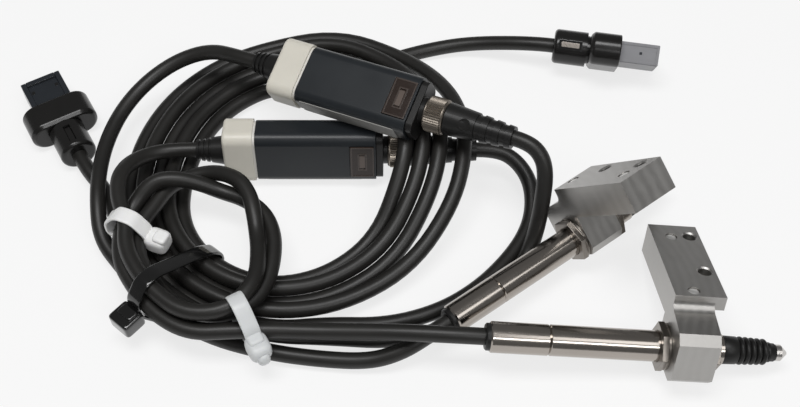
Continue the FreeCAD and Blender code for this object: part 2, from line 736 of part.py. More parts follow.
# Each place: where it is, then its turns in degrees
HEAD_1 = on_bench(HEAD_1_X, HEAD_1_Y, 36.3, -0.6, -52.0, left_bracket)
HEAD_2 = on_bench(HEAD_2_X, HEAD_2_Y, -0.7, 5.3, -23.8, right_bracket)
BOX_A = lie(BOX_A_X, BOX_A_Y, BOX_A_Z, -25.5, -5.7, 20.0)
BOX_B = lie(BOX_B_X, BOX_B_Y, BOX_B_Z, 0.0, 0.0, 80.0)
END_A = lie(END_A_X, END_A_Y, BARREL_R, 120.3, 0.0, 0.0)
END_B = lie(END_B_X, END_B_Y, END_B_Z, -10.0, 0.0, -55.0)

# Sensor heads

for number, place, holder in ((1, HEAD_1, left_bracket), (2, HEAD_2, right_bracket)):
    export("bracket_%d" % number, placed(holder, place))
    export("front_sleeve_%d" % number, placed(front_sleeve(), place))
    export("rear_sleeve_%d" % number, placed(rear_sleeve(), place))
    export("rear_gland_%d" % number, placed(rear_gland(), place))
    export("guide_bush_%d" % number, placed(guide_bush(), place))
    export("spindle_%d" % number, placed(spindle(), place))
    export("contact_tip_%d" % number, placed(contact_tip(), place))
    export("return_spring_%d" % number, placed(return_spring(), place))
    export("bellows_%d" % number, placed(bellows(), place))

HEADS = (HEAD_1, HEAD_2)
nuts = []
for place, rear in ((HEAD_1, -BRACKET_SHIFT), (HEAD_2, 0.0)):
    nuts.append(placed(clamp_nut(rear, -1), place))
    nuts.append(placed(clamp_nut(rear + CLAMP_WIDTH, 1), place))
export("clamp_nuts", Part.makeCompound(nuts))
export("readers", Part.makeCompound([placed(reader(), place) for place in HEADS]))

# Relay boxes with their plugs

for letter, place in (("a", BOX_A), ("b", BOX_B)):
    export("box_shell_" + letter, placed(box_shell(), place))
    export("window_" + letter, placed(window(), place))
    export("lamp_cap_" + letter, placed(lamp_cap(), place))
    export("socket_" + letter, placed(socket(), place))
    export("boot_" + letter, placed(boot(), place))
    export("plug_body_" + letter, placed(plug_body(), place))
    export("coupling_nut_" + letter, placed(coupling_nut(), place))

BOXES = (BOX_A, BOX_B)
export("circuit_boards", Part.makeCompound([placed(circuit_board(), place) for place in BOXES]))
export("gaskets", Part.makeCompound([placed(gasket(), place) for place in BOXES]))

# Amplifier connectors

for letter, place in (("a", END_A), ("b", END_B)):
    export("barrel_" + letter, placed(barrel(), place))
    export("collar_" + letter, placed(collar(), place))
    export("insert_" + letter, placed(insert(), place))

export("latches", Part.makeCompound([placed(latch(), place) for place in (END_A, END_B)]))

# Cables, by hand-chosen points


def lead(place, x, run):
    """Two points of a cable that leaves a piece along its X: on its end face and one run further."""
    return [place.multVec(V(x, 0, 0)), place.multVec(V(x + run, 0, 0))]


HEAD_EXIT = -SLEEVE_REAR - GLAND_LIP
PLUG_EXIT = plug_neck_end() + PLUG_LENGTH

export("coil_big", big_coil())
export("coil_small", small_coil())

fan = [fan_strand(1, -0.34, 0, 18.0), fan_strand(2, 0.68, 1, 17.4),
       fan_strand(3, 1.70, 2, 17.0), fan_strand(4, 3.15, 3, 16.4)]
export("cord_b_fan", Part.makeCompound([tube(points, "cord_b_fan") for points in fan]))

cord_b_plug = lead(BOX_B, PLUG_EXIT, LEAD) + [
    V(33.2, 9, 8.5), V(37, 3.2, 6.2), V(37.4, -4.6, 4), V(35, -12.3, 2.8), V(29.5, -20.7, 2.3),
    V(21, -29.8, 2.3), V(10, -37, 2.3), V(-4, -41, 2.3), V(-19, -41, 2.8),
    point_on_coil(COIL_BOTTOM, 4, COIL_AXIS)]
export("cord_b_plug", tube(cord_b_plug, "cord_b_plug"))

cord_b_end = [
    point_on_coil(COIL_TOP, 0, COIL_AXIS), V(-27.5, 39.6, 2.4), V(-16, 45, 2.3), V(-4, 52.5, 2.3),
    V(10, 57.5, 2.3), V(23, 58.5, 4)] + lead(END_B, 0, -LEAD)[::-1]
export("cord_b_end", tube(cord_b_end, "cord_b_end"))

cord_a_plug = lead(BOX_A, PLUG_EXIT, SHORT_LEAD) + [
    V(37.6, -4.2, 27.7), V(38.7, -7.2, 23.8), V(38.3, -10.6, 18), V(37.5, -14.2, 11), V(35.6, -18.8, 5),
    V(31.3, -26, 2.5), V(24, -34.6, 2.3), V(12.5, -42, 2.3), V(-2, -46, 2.3), V(-19, -46, 2.8),
    point_on_coil(COIL_BOTTOM, 5, COIL_AXIS)]
export("cord_a_plug", tube(cord_a_plug, "cord_a_plug"))

cord_a_end = [
    point_on_coil(STEP_ONE, 5, COIL_AXIS), V(-79, -4.5, 3.8), V(-83.5, 3, 3.8)] + lead(END_A, 0, -LEAD)[::-1]
export("cord_a_end", tube(cord_a_end, "cord_a_end"))

head_cord_1_box = lead(BOX_A, -BOOT_LENGTH, -LEAD) + [
    V(-55.5, 42.5, 18), V(-65.5, 42, 14.5), V(-74.5, 36.5, 11.5), V(-81, 27.5, 9.6), V(-84.3, 16.5, 8.8),
    V(-85, 5.5, 8.8), V(-83, -5, 8.6), V(-80, -14.5, 5.4), point_on_coil(STEP_TWO, 6, COIL_AXIS)]
export("head_cord_1_box", tube(head_cord_1_box, "head_cord_1_box"))

head_cord_1_end = [
    point_on_coil(COIL_BOTTOM, 6, COIL_AXIS), V(-21, -50.5, 3.3), V(-8, -52, 3.3), V(0.5, -50.7, 6)]
head_cord_1_end += lead(HEAD_1, HEAD_EXIT, -LEAD)[::-1]
export("head_cord_1_end", tube(head_cord_1_end, "head_cord_1_end"))

head_cord_2_box = lead(BOX_B, -BOOT_LENGTH, -LEAD) + [
    V(-70.3, 10, 9.8), V(-75, 4.5, RING_AXIS), V(-75.9, -2.5, RING_AXIS), V(-73.8, -10, RING_AXIS)]
export("head_cord_2_box", tube(head_cord_2_box, "head_cord_2_box"))

head_cord_2_end = [
    V(-53.9, -38, RING_AXIS), V(-45, -38.8, RING_AXIS), V(-34, -41.5, 9.6), V(-22, -45, 9.8),
    V(-10, -47.5, 11.8), V(2, -49.2, 13.6)] + lead(HEAD_2, HEAD_EXIT, -LEAD)[::-1]
export("head_cord_2_end", tube(head_cord_2_end, "head_cord_2_end"))

# Cable ties

export("tie_left", placed(ring_tie(0, False), lie(*RING_CENTRE, 90 + LEFT_TIE_ANGLE, 0, 0)))
export("tie_small_coil", placed(ring_tie(EXIT_ROOM, True), lie(*RING_CENTRE, 90 + EXIT_TIE_ANGLE, 0, 0)))
export("tie_bundle", placed(bundle_tie(), lie(*COIL_CENTRE, 90 + BUNDLE_TIE_ANGLE, 0, 0)))
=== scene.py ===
from math import radians

import bmesh
import bpy
import numpy as np
from mathutils import Matrix


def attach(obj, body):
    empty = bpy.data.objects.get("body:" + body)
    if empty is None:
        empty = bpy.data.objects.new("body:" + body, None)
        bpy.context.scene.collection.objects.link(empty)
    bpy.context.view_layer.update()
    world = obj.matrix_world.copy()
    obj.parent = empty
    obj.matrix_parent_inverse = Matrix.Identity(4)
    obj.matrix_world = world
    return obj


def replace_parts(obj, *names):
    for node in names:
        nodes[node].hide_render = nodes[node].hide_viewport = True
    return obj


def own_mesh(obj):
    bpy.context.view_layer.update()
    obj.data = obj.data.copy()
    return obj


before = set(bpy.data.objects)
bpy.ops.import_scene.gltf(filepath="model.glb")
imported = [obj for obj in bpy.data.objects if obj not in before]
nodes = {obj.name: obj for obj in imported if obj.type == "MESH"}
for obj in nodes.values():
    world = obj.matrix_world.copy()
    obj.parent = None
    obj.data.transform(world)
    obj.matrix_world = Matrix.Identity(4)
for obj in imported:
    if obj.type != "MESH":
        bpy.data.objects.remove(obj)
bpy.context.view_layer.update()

# Two pencil type contact sensors with relay boxes and cables, tied up in one bundle.
# Sizes are in millimetres on the bench, as in the part's source; meshes are in metres in the shared frame.

scene = bpy.context.scene

MM = 0.001
BENCH_MIDDLE = np.array([20.48, -10.68, 0.0])


def in_frame(points):
    """Bench points in millimetres as shared frame points in metres."""
    return (np.asarray(points, float) - BENCH_MIDDLE) * MM


def turn(axis, degrees):
    """Rotation matrix about axis 0, 1 or 2: cosines on the diagonal, sines across."""
    c = np.cos(radians(degrees))
    s = np.sin(radians(degrees))
    matrix = np.eye(3)
    i, j = [(1, 2), (2, 0), (0, 1)][axis]
    matrix[i, i] = c
    matrix[j, j] = c
    matrix[i, j] = -s
    matrix[j, i] = s
    return matrix


class Place:
    """Where a piece lies on the bench: rolled about X, pitched about Y, turned about Z, then moved."""

    def __init__(self, x, y, z, yaw=0.0, pitch=0.0, roll=0.0):
        self.origin = np.array([x, y, z], float)
        self.angles = (radians(roll), radians(pitch), radians(yaw))
        self.matrix = turn(2, yaw) @ turn(1, pitch) @ turn(0, roll)

    def bench(self, points):
        """Own points in millimetres on the bench."""
        return np.asarray(points, float) @ self.matrix.T + self.origin

    def frame(self, points):
        """Own points in millimetres as shared frame points."""
        return in_frame(self.bench(points))

    def way(self, vector):
        """Own direction in the shared frame."""
        return self.matrix @ np.asarray(vector, float)

    def turned(self, axis, degrees, at=(0, 0, 0)):
        """A further place at an own point, turned about one of the own axes."""
        further = Place(*self.bench(at))
        further.matrix = self.matrix @ turn(axis, degrees)
        return further


HEAD_1 = Place(49.7, -16.2, 9.248, 36.3, -0.6, -52.0)
HEAD_2 = Place(67.3, -51.0, 9.554, -0.7, 5.3, -23.8)
BOX_A = Place(-34.0, 31.5, 22.0, -25.5, -5.7, 20.0)
BOX_B = Place(-49.8, 12.0, 9.6, 0.0, 0.0, 80.0)
END_A = Place(-92.5, 13.3, 5.2, 120.3, 0.0, 0.0)
END_B = Place(46.9, 52.5, 9.2, -10.0, 0.0, -55.0)
HEADS = {1: HEAD_1, 2: HEAD_2}
BOXES = {"a": BOX_A, "b": BOX_B}


# Camera at the photograph's angle: 55 degrees above the bench, aimed at the bench's own origin

CAMERA_DISTANCE = 329.0
CAMERA_HEIGHT_ANGLE = 55.0
SENSOR = 36.0
PHOTO_WIDTH = 800.0
FOCAL_PIXELS = 1150.0
NEAREST_SEEN = 0.01

camera = bpy.data.objects.new("camera", bpy.data.cameras.new("camera"))
camera.data.sensor_width = SENSOR
camera.data.lens = SENSOR * FOCAL_PIXELS / PHOTO_WIDTH
camera.data.clip_start = NEAREST_SEEN
camera.location = in_frame([
    0.0,
    -CAMERA_DISTANCE * np.cos(radians(CAMERA_HEIGHT_ANGLE)),
    CAMERA_DISTANCE * np.sin(radians(CAMERA_HEIGHT_ANGLE))])
camera.rotation_euler = (radians(90 - CAMERA_HEIGHT_ANGLE), 0.0, 0.0)
scene.collection.objects.link(camera)
scene.camera = camera
scene.view_settings.view_transform = "Standard"


# Materials

class Value:
    """A socket of a finish; each arithmetic operator adds one Math node."""

    def __init__(self, finish, socket):
        self.finish = finish
        self.socket = socket

    def math(self, operation, first, second):
        return self.finish.add("ShaderNodeMath", {"operation": operation}, {0: first, 1: second})

    def __add__(self, other):
        return self.math("ADD", self, other)

    def __radd__(self, other):
        return self.math("ADD", other, self)

    def __sub__(self, other):
        return self.math("SUBTRACT", self, other)

    def __rsub__(self, other):
        return self.math("SUBTRACT", other, self)

    def __mul__(self, other):
        return self.math("MULTIPLY", self, other)

    def __rmul__(self, other):
        return self.math("MULTIPLY", other, self)

    def largest(self, other):
        return self.math("MAXIMUM", self, other)


class Finish:
    """A material in the making: its shader, and one method that adds any other node."""

    def __init__(self, name):
        self.material = bpy.data.materials.new(name)
        self.material.use_nodes = True
        self.tree = self.material.node_tree
        self.shader = self.tree.nodes["Principled BSDF"]

    def feed(self, socket, value):
        """Link a value to a socket, or set a plain number or colour on it."""
        if isinstance(value, Value):
            self.tree.links.new(value.socket, socket)
        else:
            socket.default_value = value

    def add(self, kind, settings, inputs, output=0):
        """A node of a kind with its settings and inputs; gives one of its outputs."""
        node = self.tree.nodes.new(kind)
        for key, value in settings.items():
            setattr(node, key, value)
        for key, value in inputs.items():
            self.feed(node.inputs[key], value)
        return Value(self, node.outputs[output])

    def shade(self, **sockets):
        """Feed the shader's sockets, named with _ for a space."""
        for key, value in sockets.items():
            self.feed(self.shader.inputs[key.replace("_", " ")], value)

    def here(self, place=None, stretch=(1.0, 1.0, 1.0)):
        """Object coordinates, in a piece's own axes if its place is given, stretched along them."""
        spot = self.add("ShaderNodeTexCoord", {}, {}, "Object")
        if place is not None:
            spot = self.add("ShaderNodeMapping", {"vector_type": "TEXTURE"}, {
                "Vector": spot, "Location": tuple(in_frame(place.origin)), "Rotation": place.angles})
        return self.add("ShaderNodeMapping", {}, {"Vector": spot, "Scale": stretch})

    def noise(self, spot, scale, detail=3.0):
        """Noise between 0 and 1."""
        return self.add("ShaderNodeTexNoise", {}, {"Vector": spot, "Scale": scale, "Detail": detail})

    def mix(self, share, first, second):
        """Colour between two colours."""
        return self.add("ShaderNodeMix", {"data_type": "RGBA"}, {
            0: share, 6: (*first, 1.0), 7: (*second, 1.0)}, 2)

    def bump(self, height, depth, strength=1.0):
        """Relief of so many millimetres from a height between 0 and 1."""
        self.shade(Normal=self.add("ShaderNodeBump", {}, {
            "Strength": strength, "Distance": depth * MM, "Height": height}))


# The middle of the cutter's arcs as seen from the head, in metres
CUTTER_AWAY = (0.055, -0.012, 0.0)
MILLED_DARK = (0.375, 0.365, 0.35)
MILLED_LIGHT = (0.495, 0.485, 0.47)
TOOL_LINES = (2600.0, 90.0, 2600.0)
HAIR_LINES = (4000.0, 60.0, 60.0)
BAR_CLOUDS = (60.0, 200.0, 200.0)


def machined(name, place):
    """Milled aluminium: fine tool lines along the plate, wide faint arcs of the cutter, cloudy tone."""
    f = Finish(name)
    spot = f.here(place)
    lines = f.noise(f.here(place, TOOL_LINES), 1.0, 2.0)
    clouds = f.noise(spot, 150.0)
    aside = f.add("ShaderNodeMapping", {}, {"Vector": spot, "Location": CUTTER_AWAY})
    arcs = f.add("ShaderNodeTexWave", {"wave_type": "RINGS", "rings_direction": "Z"}, {
        "Vector": aside, "Scale": 130.0, "Distortion": 2.5, "Detail": 3.0, "Detail Scale": 2.0}, "Fac")
    tone = 0.75 * clouds + 0.25 * arcs
    f.shade(Base_Color=f.mix(tone, MILLED_DARK, MILLED_LIGHT), Metallic=1.0,
            Roughness=0.27 + 0.12 * clouds + 0.08 * lines + 0.05 * arcs)
    f.bump(lines, 0.02, 0.4)
    return f.material


def polished(name, place, light, dark, smooth):
    """Ground and polished steel: hair lines round the bar, a slight change of tone along it."""
    f = Finish(name)
    rings = f.noise(f.here(place, HAIR_LINES), 1.0, 2.0)
    clouds = f.noise(f.here(place, BAR_CLOUDS), 1.0)
    f.shade(Base_Color=f.mix(clouds, dark, light), Metallic=1.0,
            Roughness=smooth + 0.08 * rings + 0.06 * clouds)
    return f.material


def moulded(name, dark, light, rough, grain, depth, shine=0.32):
    """Moulded plastic or rubber: fine grain in relief, faint uneven tone and rubbed spots."""
    f = Finish(name)
    spot = f.here()
    fine = f.noise(spot, grain, 2.0)
    wear = f.noise(spot, grain * 0.06)
    f.shade(Base_Color=f.mix(wear, dark, light), Roughness=rough + 0.12 * wear - 0.06 * fine,
            Specular_IOR_Level=shine)
    f.bump(fine, depth, 0.6)
    return f.material


def sheath():
    """Black cable sheath: satin, with a fine grain, dust and grey rubbed places."""
    f = Finish("cable_sheath")
    spot = f.here()
    fine = f.noise(spot, 2200.0, 2.0)
    dust = f.noise(spot, 90.0)
    f.shade(Base_Color=f.mix(dust, (0.010, 0.0095, 0.009), (0.022, 0.021, 0.019)),
            Roughness=0.34 + 0.16 * dust, Specular_IOR_Level=0.42)
    f.bump(fine, 0.01, 0.5)
    return f.material


def glossy(name, colour, rough, coat):
    """Smooth hard plastic with a clear skin; only its tone and its gloss wander a little."""
    f = Finish(name)
    smear = f.noise(f.here(), 260.0)
    low = tuple(0.8 * c for c in colour)
    f.shade(Base_Color=f.mix(smear, low, colour), Roughness=rough + 0.10 * smear, Coat_Weight=coat,
            Coat_Roughness=0.08, Specular_IOR_Level=0.35)
    return f.material


def milky(name, light, dark, see_through):
    """Milky plastic: pale, a little translucent, with faint clouds."""
    f = Finish(name)
    clouds = f.noise(f.here(), 160.0)
    f.shade(Base_Color=f.mix(clouds, dark, light), Roughness=0.30 + 0.14 * clouds,
            Subsurface_Weight=0.15, Subsurface_Radius=(0.002, 0.002, 0.0018),
            Transmission_Weight=see_through)
    return f.material


STEEL_LIGHT = (0.44, 0.405, 0.37)
STEEL_DARK = (0.34, 0.31, 0.28)
BARE_LIGHT = (0.62, 0.60, 0.58)
BARE_DARK = (0.50, 0.48, 0.46)

aluminium = {number: machined("bracket_metal_%d" % number, place) for number, place in HEADS.items()}
stainless = {number: polished("stainless_%d" % number, place, STEEL_LIGHT, STEEL_DARK, 0.10)
             for number, place in HEADS.items()}
bare_steel = {number: polished("steel_%d" % number, place, BARE_LIGHT, BARE_DARK, 0.22)
              for number, place in HEADS.items()}
pin_steel = polished("pin_steel", HEAD_2, (0.90, 0.89, 0.87), (0.80, 0.79, 0.77), 0.42)
bronze = polished("bronze", HEAD_2, (0.55, 0.38, 0.22), (0.42, 0.29, 0.17), 0.28)
nut_steel = polished("nut_steel", HEAD_1, (0.30, 0.275, 0.25), (0.21, 0.19, 0.17), 0.22)
coupling_metal = polished("coupling_metal", BOX_A, (0.31, 0.275, 0.235), (0.21, 0.185, 0.158), 0.30)
black_moulding = moulded("black_moulding", (0.0085, 0.0085, 0.0085), (0.017, 0.0165, 0.016),
                         0.34, 1500.0, 0.02)
bellows_rubber = moulded("bellows_rubber", (0.007, 0.007, 0.007), (0.014, 0.0135, 0.013),
                         0.42, 1900.0, 0.02)
box_plastic = moulded("box_plastic", (0.014, 0.0165, 0.0195), (0.022, 0.0255, 0.029),
                      0.30, 1700.0, 0.008)
board_green = moulded("board", (0.02, 0.10, 0.05), (0.03, 0.15, 0.07), 0.35, 900.0, 0.02)
strip_grey = moulded("label_strip", (0.30, 0.295, 0.28), (0.36, 0.355, 0.34), 0.4, 900.0, 0.004)
window_tint = glossy("window_tint", (0.024, 0.014, 0.010), 0.16, 0.1)
window_edge = glossy("window_edge", (0.060, 0.044, 0.036), 0.20, 0.2)
lamp_glow = glossy("lamp_bar", (0.115, 0.085, 0.07), 0.25, 0.3)
tie_black = glossy("tie_black", (0.006, 0.006, 0.006), 0.10, 0.8)
connector_black = glossy("connector_black", (0.012, 0.0115, 0.011), 0.20, 0.12)
# Near-black finish: insert A and its closed end get it, though insert B of the same connector kind is pale
# grey; it also draws the painted shade of pin socket B
dark_insert_and_hole_shade = glossy("dark_insert_and_hole_shade", (0.020, 0.024, 0.030), 0.22, 0.4)
cap_cream = milky("cap_cream", (0.77, 0.74, 0.655), (0.70, 0.67, 0.59), 0.0)
gasket_white = milky("gasket_white", (0.80, 0.78, 0.74), (0.70, 0.68, 0.64), 0.0)
tie_white = milky("tie_white", (0.96, 0.96, 0.95), (0.90, 0.90, 0.89), 0.0)
tie_clear = milky("tie_clear", (0.86, 0.88, 0.88), (0.76, 0.78, 0.79), 0.15)
insert_grey = milky("insert_grey", (0.32, 0.32, 0.34), (0.25, 0.25, 0.265), 0.2)
cable_sheath = sheath()


# Meshes

SAME_POINT = 1e-7
SAME_CORNER = 1e-6
FLAT_ANGLE = 1.0
EDGE_ANGLE = 30.0
BEVEL_STEPS = 2
BAND_STEPS = 20
BAND_ACROSS_POWER = 0.35
BAND_OUT_POWER = 0.5

# Angles between faces, in degrees, from which an edge stays sharp
SHARP = 35.0
SHARP_KNURL = 25.0
SHARP_PIN = 40.0
SHARP_ROUND = 50.0
SHARP_FOLD = 60.0


def grid_faces(rows, columns, wrap_rows, wrap_columns, start):
    """Quads of a grid of points numbered row by row; a wrapped side also joins last to first."""
    index = start + np.arange(rows * columns).reshape(rows, columns)
    if wrap_rows:
        index = np.vstack([index, index[:1]])
    if wrap_columns:
        index = np.hstack([index, index[:, :1]])
    return np.stack([index[:-1, :-1], index[:-1, 1:], index[1:, 1:], index[1:, :-1]], -1).reshape(-1, 4)


def piece(name, patches, material, body, sharp=SHARP):
    """One mesh of several patches (grid of points, wrap rows, wrap columns), closed and facing outwards."""
    points = []
    faces = []
    count = 0
    for grid, wrap_rows, wrap_columns in patches:
        rows, columns = grid.shape[:2]
        faces.append(grid_faces(rows, columns, wrap_rows, wrap_columns, count))
        points.append(grid.reshape(-1, 3))
        count += rows * columns
    mesh = bpy.data.meshes.new(name)
    mesh.from_pydata(np.vstack(points).tolist(), [], np.vstack(faces).tolist())
    return finished(name, mesh, material, body, sharp)


def finished(name, mesh, material, body, sharp):
    """An object of a mesh: doubles merged, faces outwards, smooth but for sharp edges, on its body."""
    work = bmesh.new()
    work.from_mesh(mesh)
    bmesh.ops.remove_doubles(work, verts=work.verts, dist=SAME_POINT)
    bmesh.ops.recalc_face_normals(work, faces=work.faces)
    work.to_mesh(mesh)
    work.free()
    mesh.polygons.foreach_set("use_smooth", np.ones(len(mesh.polygons), bool))
    mesh.set_sharp_from_angle(angle=radians(sharp))
    mesh.materials.append(material)
    thing = bpy.data.objects.new(name, mesh)
    scene.collection.objects.link(thing)
    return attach(thing, body)


def spun(profile, place, steps=64, ridges=None):
    """Surface of revolution about a place's X: the profile's radius, plus any ridges, turned in a circle."""
    profile = np.asarray(profile, float)
    angle = np.linspace(0, 2 * np.pi, steps, endpoint=False)
    radius = np.repeat(profile[:, 1:2], steps, 1)
    if ridges is not None:
        radius = radius + ridges(profile[:, :1], angle[None, :])
    along = np.repeat(profile[:, :1], steps, 1)
    return place.frame(np.stack([along, radius * np.cos(angle), radius * np.sin(angle)], -1)), False, True


def pillow(place, centre, half, square, steps=28):
    """Rounded block: a sphere whose sines and cosines are raised to a power, so that it fills its box.
    They are rounded first, which makes the poles exact points, so that they close."""
    u = np.linspace(-np.pi / 2, np.pi / 2, steps)[:, None]
    v = np.linspace(-np.pi, np.pi, 2 * steps, endpoint=False)[None, :]

    def power(x):
        x = np.round(x, 12)
        return np.sign(x) * np.abs(x) ** square

    ball = np.stack([power(np.cos(u)) * power(np.cos(v)), power(np.cos(u)) * power(np.sin(v)),
                     power(np.sin(u)) + 0 * v], -1)
    return place.frame(ball * np.asarray(half) + np.asarray(centre)), False, True


def strap(place, corners, width, thick, soft, steps=160):
    """Closed band: a flat oval section carried round a polygon in the YZ plane. A running mean softens the
    polygon's corners, and powers of the sine and the cosine flatten the oval."""
    ring = np.asarray(corners + corners[:1], float)
    run = np.concatenate([[0], np.cumsum(np.hypot(*np.diff(ring, axis=0).T))])
    s = np.linspace(0, run[-1], steps, endpoint=False)
    path = np.stack([np.interp(s, run, ring[:, 0]), np.interp(s, run, ring[:, 1])], -1)
    reach = int(steps * soft / run[-1])
    path = np.mean([np.roll(path, shift, 0) for shift in range(-reach, reach + 1)], 0)
    along = np.roll(path, -1, 0) - np.roll(path, 1, 0)
    along /= np.linalg.norm(along, axis=1, keepdims=True)
    outward = np.stack([along[:, 1], -along[:, 0]], -1)
    middle = path.mean(0)
    outward *= np.sign(((path - middle) * outward).sum())
    v = np.linspace(0, 2 * np.pi, BAND_STEPS, endpoint=False)
    across = width / 2 * np.sign(np.cos(v)) * np.abs(np.cos(v)) ** BAND_ACROSS_POWER
    out = thick / 2 * (1 + np.sign(np.sin(v)) * np.abs(np.sin(v)) ** BAND_OUT_POWER)
    yz = path[:, None, :] + outward[:, None, :] * out[None, :, None]
    x = np.repeat(across[None, :], steps, 0)
    return place.frame(np.concatenate([x[..., None], yz], -1)), True, True


def edged(node, width, material, name=None, half=None):
    """A copy of a CAD node with merged corners and a small bevel on its sharp edges; it stands for the node.
    With half, minus or plus one, it keeps only the solids on that side of the frame's middle."""
    mesh = nodes[node].data.copy()
    mesh.materials.clear()
    work = bmesh.new()
    work.from_mesh(mesh)
    bmesh.ops.remove_doubles(work, verts=work.verts, dist=SAME_CORNER)
    bmesh.ops.dissolve_limit(work, angle_limit=radians(FLAT_ANGLE), verts=work.verts, edges=work.edges)
    if half is not None:
        everything = work.verts[:] + work.edges[:] + work.faces[:]
        bmesh.ops.bisect_plane(work, geom=everything, plane_co=(0, 0, 0), plane_no=(half, 0, 0),
                               clear_inner=True)
    work.to_mesh(mesh)
    work.free()
    thing = finished(name or "edged_" + node, mesh, material, "bundle", EDGE_ANGLE)
    bevel = thing.modifiers.new("edges", "BEVEL")
    bevel.width = width * MM
    bevel.segments = BEVEL_STEPS
    bevel.limit_method = "ANGLE"
    bevel.angle_limit = radians(EDGE_ANGLE)
    level = thing.modifiers.new("flat faces", "WEIGHTED_NORMAL")
    level.keep_sharp = True
    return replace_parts(thing, node)


def dress(material, *names):
    """Give CAD nodes a finish."""
    for name in names:
        nodes[name].data.materials.clear()
        nodes[name].data.materials.append(material)


# Cables: their routes in bench millimetres

CORD_R = 2.2
LYING = 2.3
STRAND_PITCH = 4.7
STRAND_GAP = 4.45
LOOSE_PITCH = 4.05
NEST_PITCH = 3.05
NEST_ANGLE = 235.0
NEST_SPREAD = 55.0
OUTERMOST = 6
TIE_WIDTH = 4.4
TIE_THICK = 0.9
COIL_CENTRE = (-26.4, 9.3)
COIL_INNER_R = 30.0
COIL_TOP = 110.0
COIL_BOTTOM = 262.0
COIL_STEP = 19.0
FAN_ANGLES = np.array([82, 54, 30, 12, -4, -24, -50, -76])
FAN_SHARES = np.array([0, 0.45, 0.9, 1, 1, 1, 0.5, 0.05])
FAN_LEAVES = 7.2
FAN_CLIMBS = 8.4
FAN_LANDS = 4.6
RING_CENTRE = (-54.5, -19.5)
RING_R = 18.5
RING_AXIS = 11.75
RING_PILE = 15.7
RING_STRETCH = 9.0
STRETCH_ANGLE = 290.0
CROSSING = 4.5
HEAD_EXIT = -46.2
PLUG_EXIT = 71.5
BOOT_EXIT = -8.0
LEAD = 6.0
SHORT_LEAD = 4.5


def lead(place, x, run):
    """Two points of a cable that leaves a piece along its X."""
    return [place.bench((x, 0, 0)), place.bench((x + run, 0, 0))]


def on_coil(angles, strands, heights):
    """Points of the big coil: angles in degrees about its centre, strand 0 innermost."""
    r = COIL_INNER_R + np.asarray(strands, float) * STRAND_PITCH
    a = np.radians(angles)
    return list(np.stack([COIL_CENTRE[0] + r * np.cos(a), COIL_CENTRE[1] + r * np.sin(a),
                          np.asarray(heights, float) + 0 * a], -1))


def near_tie(angles):
    """One at the black tie and nought away from it: one less the square of the distance."""
    away = (np.asarray(angles) % 360 - NEST_ANGLE) / NEST_SPREAD
    return np.maximum(0, 1 - away ** 2)


def lane_pitch(angles):
    """Distance between strands on the tied side: the loose pitch, falling to the nested one at the tie."""
    return LOOSE_PITCH - (LOOSE_PITCH - NEST_PITCH) * near_tie(angles)


def lane(strand, angles):
    """Where a strand lies on the tied side, counted in lane pitches inwards from the outermost strand."""
    return OUTERMOST - (OUTERMOST - strand) * lane_pitch(angles) / STRAND_PITCH


def lane_height(strand, angles):
    """Every other strand lies higher, by the root of the gap squared less the pitch squared, which keeps
    neighbours just apart; the strap under them lifts them all."""
    rise = np.sqrt(STRAND_GAP ** 2 - lane_pitch(angles) ** 2)
    return LYING + TIE_THICK * near_tie(angles) + rise * (strand % 2)


def tied(strand, first, last):
    """One strand of the tied side, from one angle to the other; the points lie outside by one over
    the cosine of half a step, as the spline runs inside them."""
    count = int(round(abs(last - first) / COIL_STEP))
    angles = np.linspace(first, last, count + 1)
    lanes = lane(strand, angles)
    wide = (COIL_INNER_R / STRAND_PITCH + lanes) * (1 / np.cos(radians(COIL_STEP / 2)) - 1)
    return on_coil(angles, lanes + wide, lane_height(strand, angles))


def fanned(top, side, bottom, hump):
    """One strand of the free side: it leaves the top, rises over plug B and lands one strand further in."""
    angles = FAN_ANGLES
    rise = np.sqrt(STRAND_GAP ** 2 - LOOSE_PITCH ** 2)
    top_rise = rise * (top % 2)
    heights = np.array([
        FAN_LEAVES + top_rise, FAN_CLIMBS + top_rise, 0.85 * hump, hump, hump, 0.72 * hump,
        FAN_LANDS + rise * (bottom % 2), lane_height(bottom, angles[-1])])
    ends = np.where(angles > 0, lane(top, angles), lane(bottom, angles))
    return on_coil(angles, ends + (side - ends) * FAN_SHARES, heights)


def on_ring(angles, radii, heights):
    """Points of the small ring: angles in degrees about its centre; it is drawn out to one side by the
    fourth power of the cosine."""
    a = np.radians(angles)
    out = np.maximum(0, np.cos(a - radians(STRETCH_ANGLE))) ** 4
    r = np.asarray(radii, float) + RING_STRETCH * out
    return list(np.stack([RING_CENTRE[0] + r * np.cos(a), RING_CENTRE[1] + r * np.sin(a),
                          np.asarray(heights, float)], -1))


def cable(name, route, replaced):
    """A round cable along a smooth spline whose control points are the route."""
    curve = bpy.data.curves.new(name, "CURVE")
    curve.dimensions = "3D"
    curve.bevel_depth = CORD_R * MM
    curve.bevel_resolution = 5
    curve.resolution_u = 6
    curve.use_fill_caps = True
    spline = curve.splines.new("NURBS")
    points = in_frame(np.array(route))
    spline.points.add(len(points) - 1)
    spline.points.foreach_set("co", np.hstack([points, np.ones((len(points), 1))]).ravel())
    spline.order_u = 3
    spline.use_endpoint_u = True
    curve.materials.append(cable_sheath)
    thing = bpy.data.objects.new(name, curve)
    scene.collection.objects.link(thing)
    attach(thing, "bundle")
    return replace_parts(thing, *replaced)


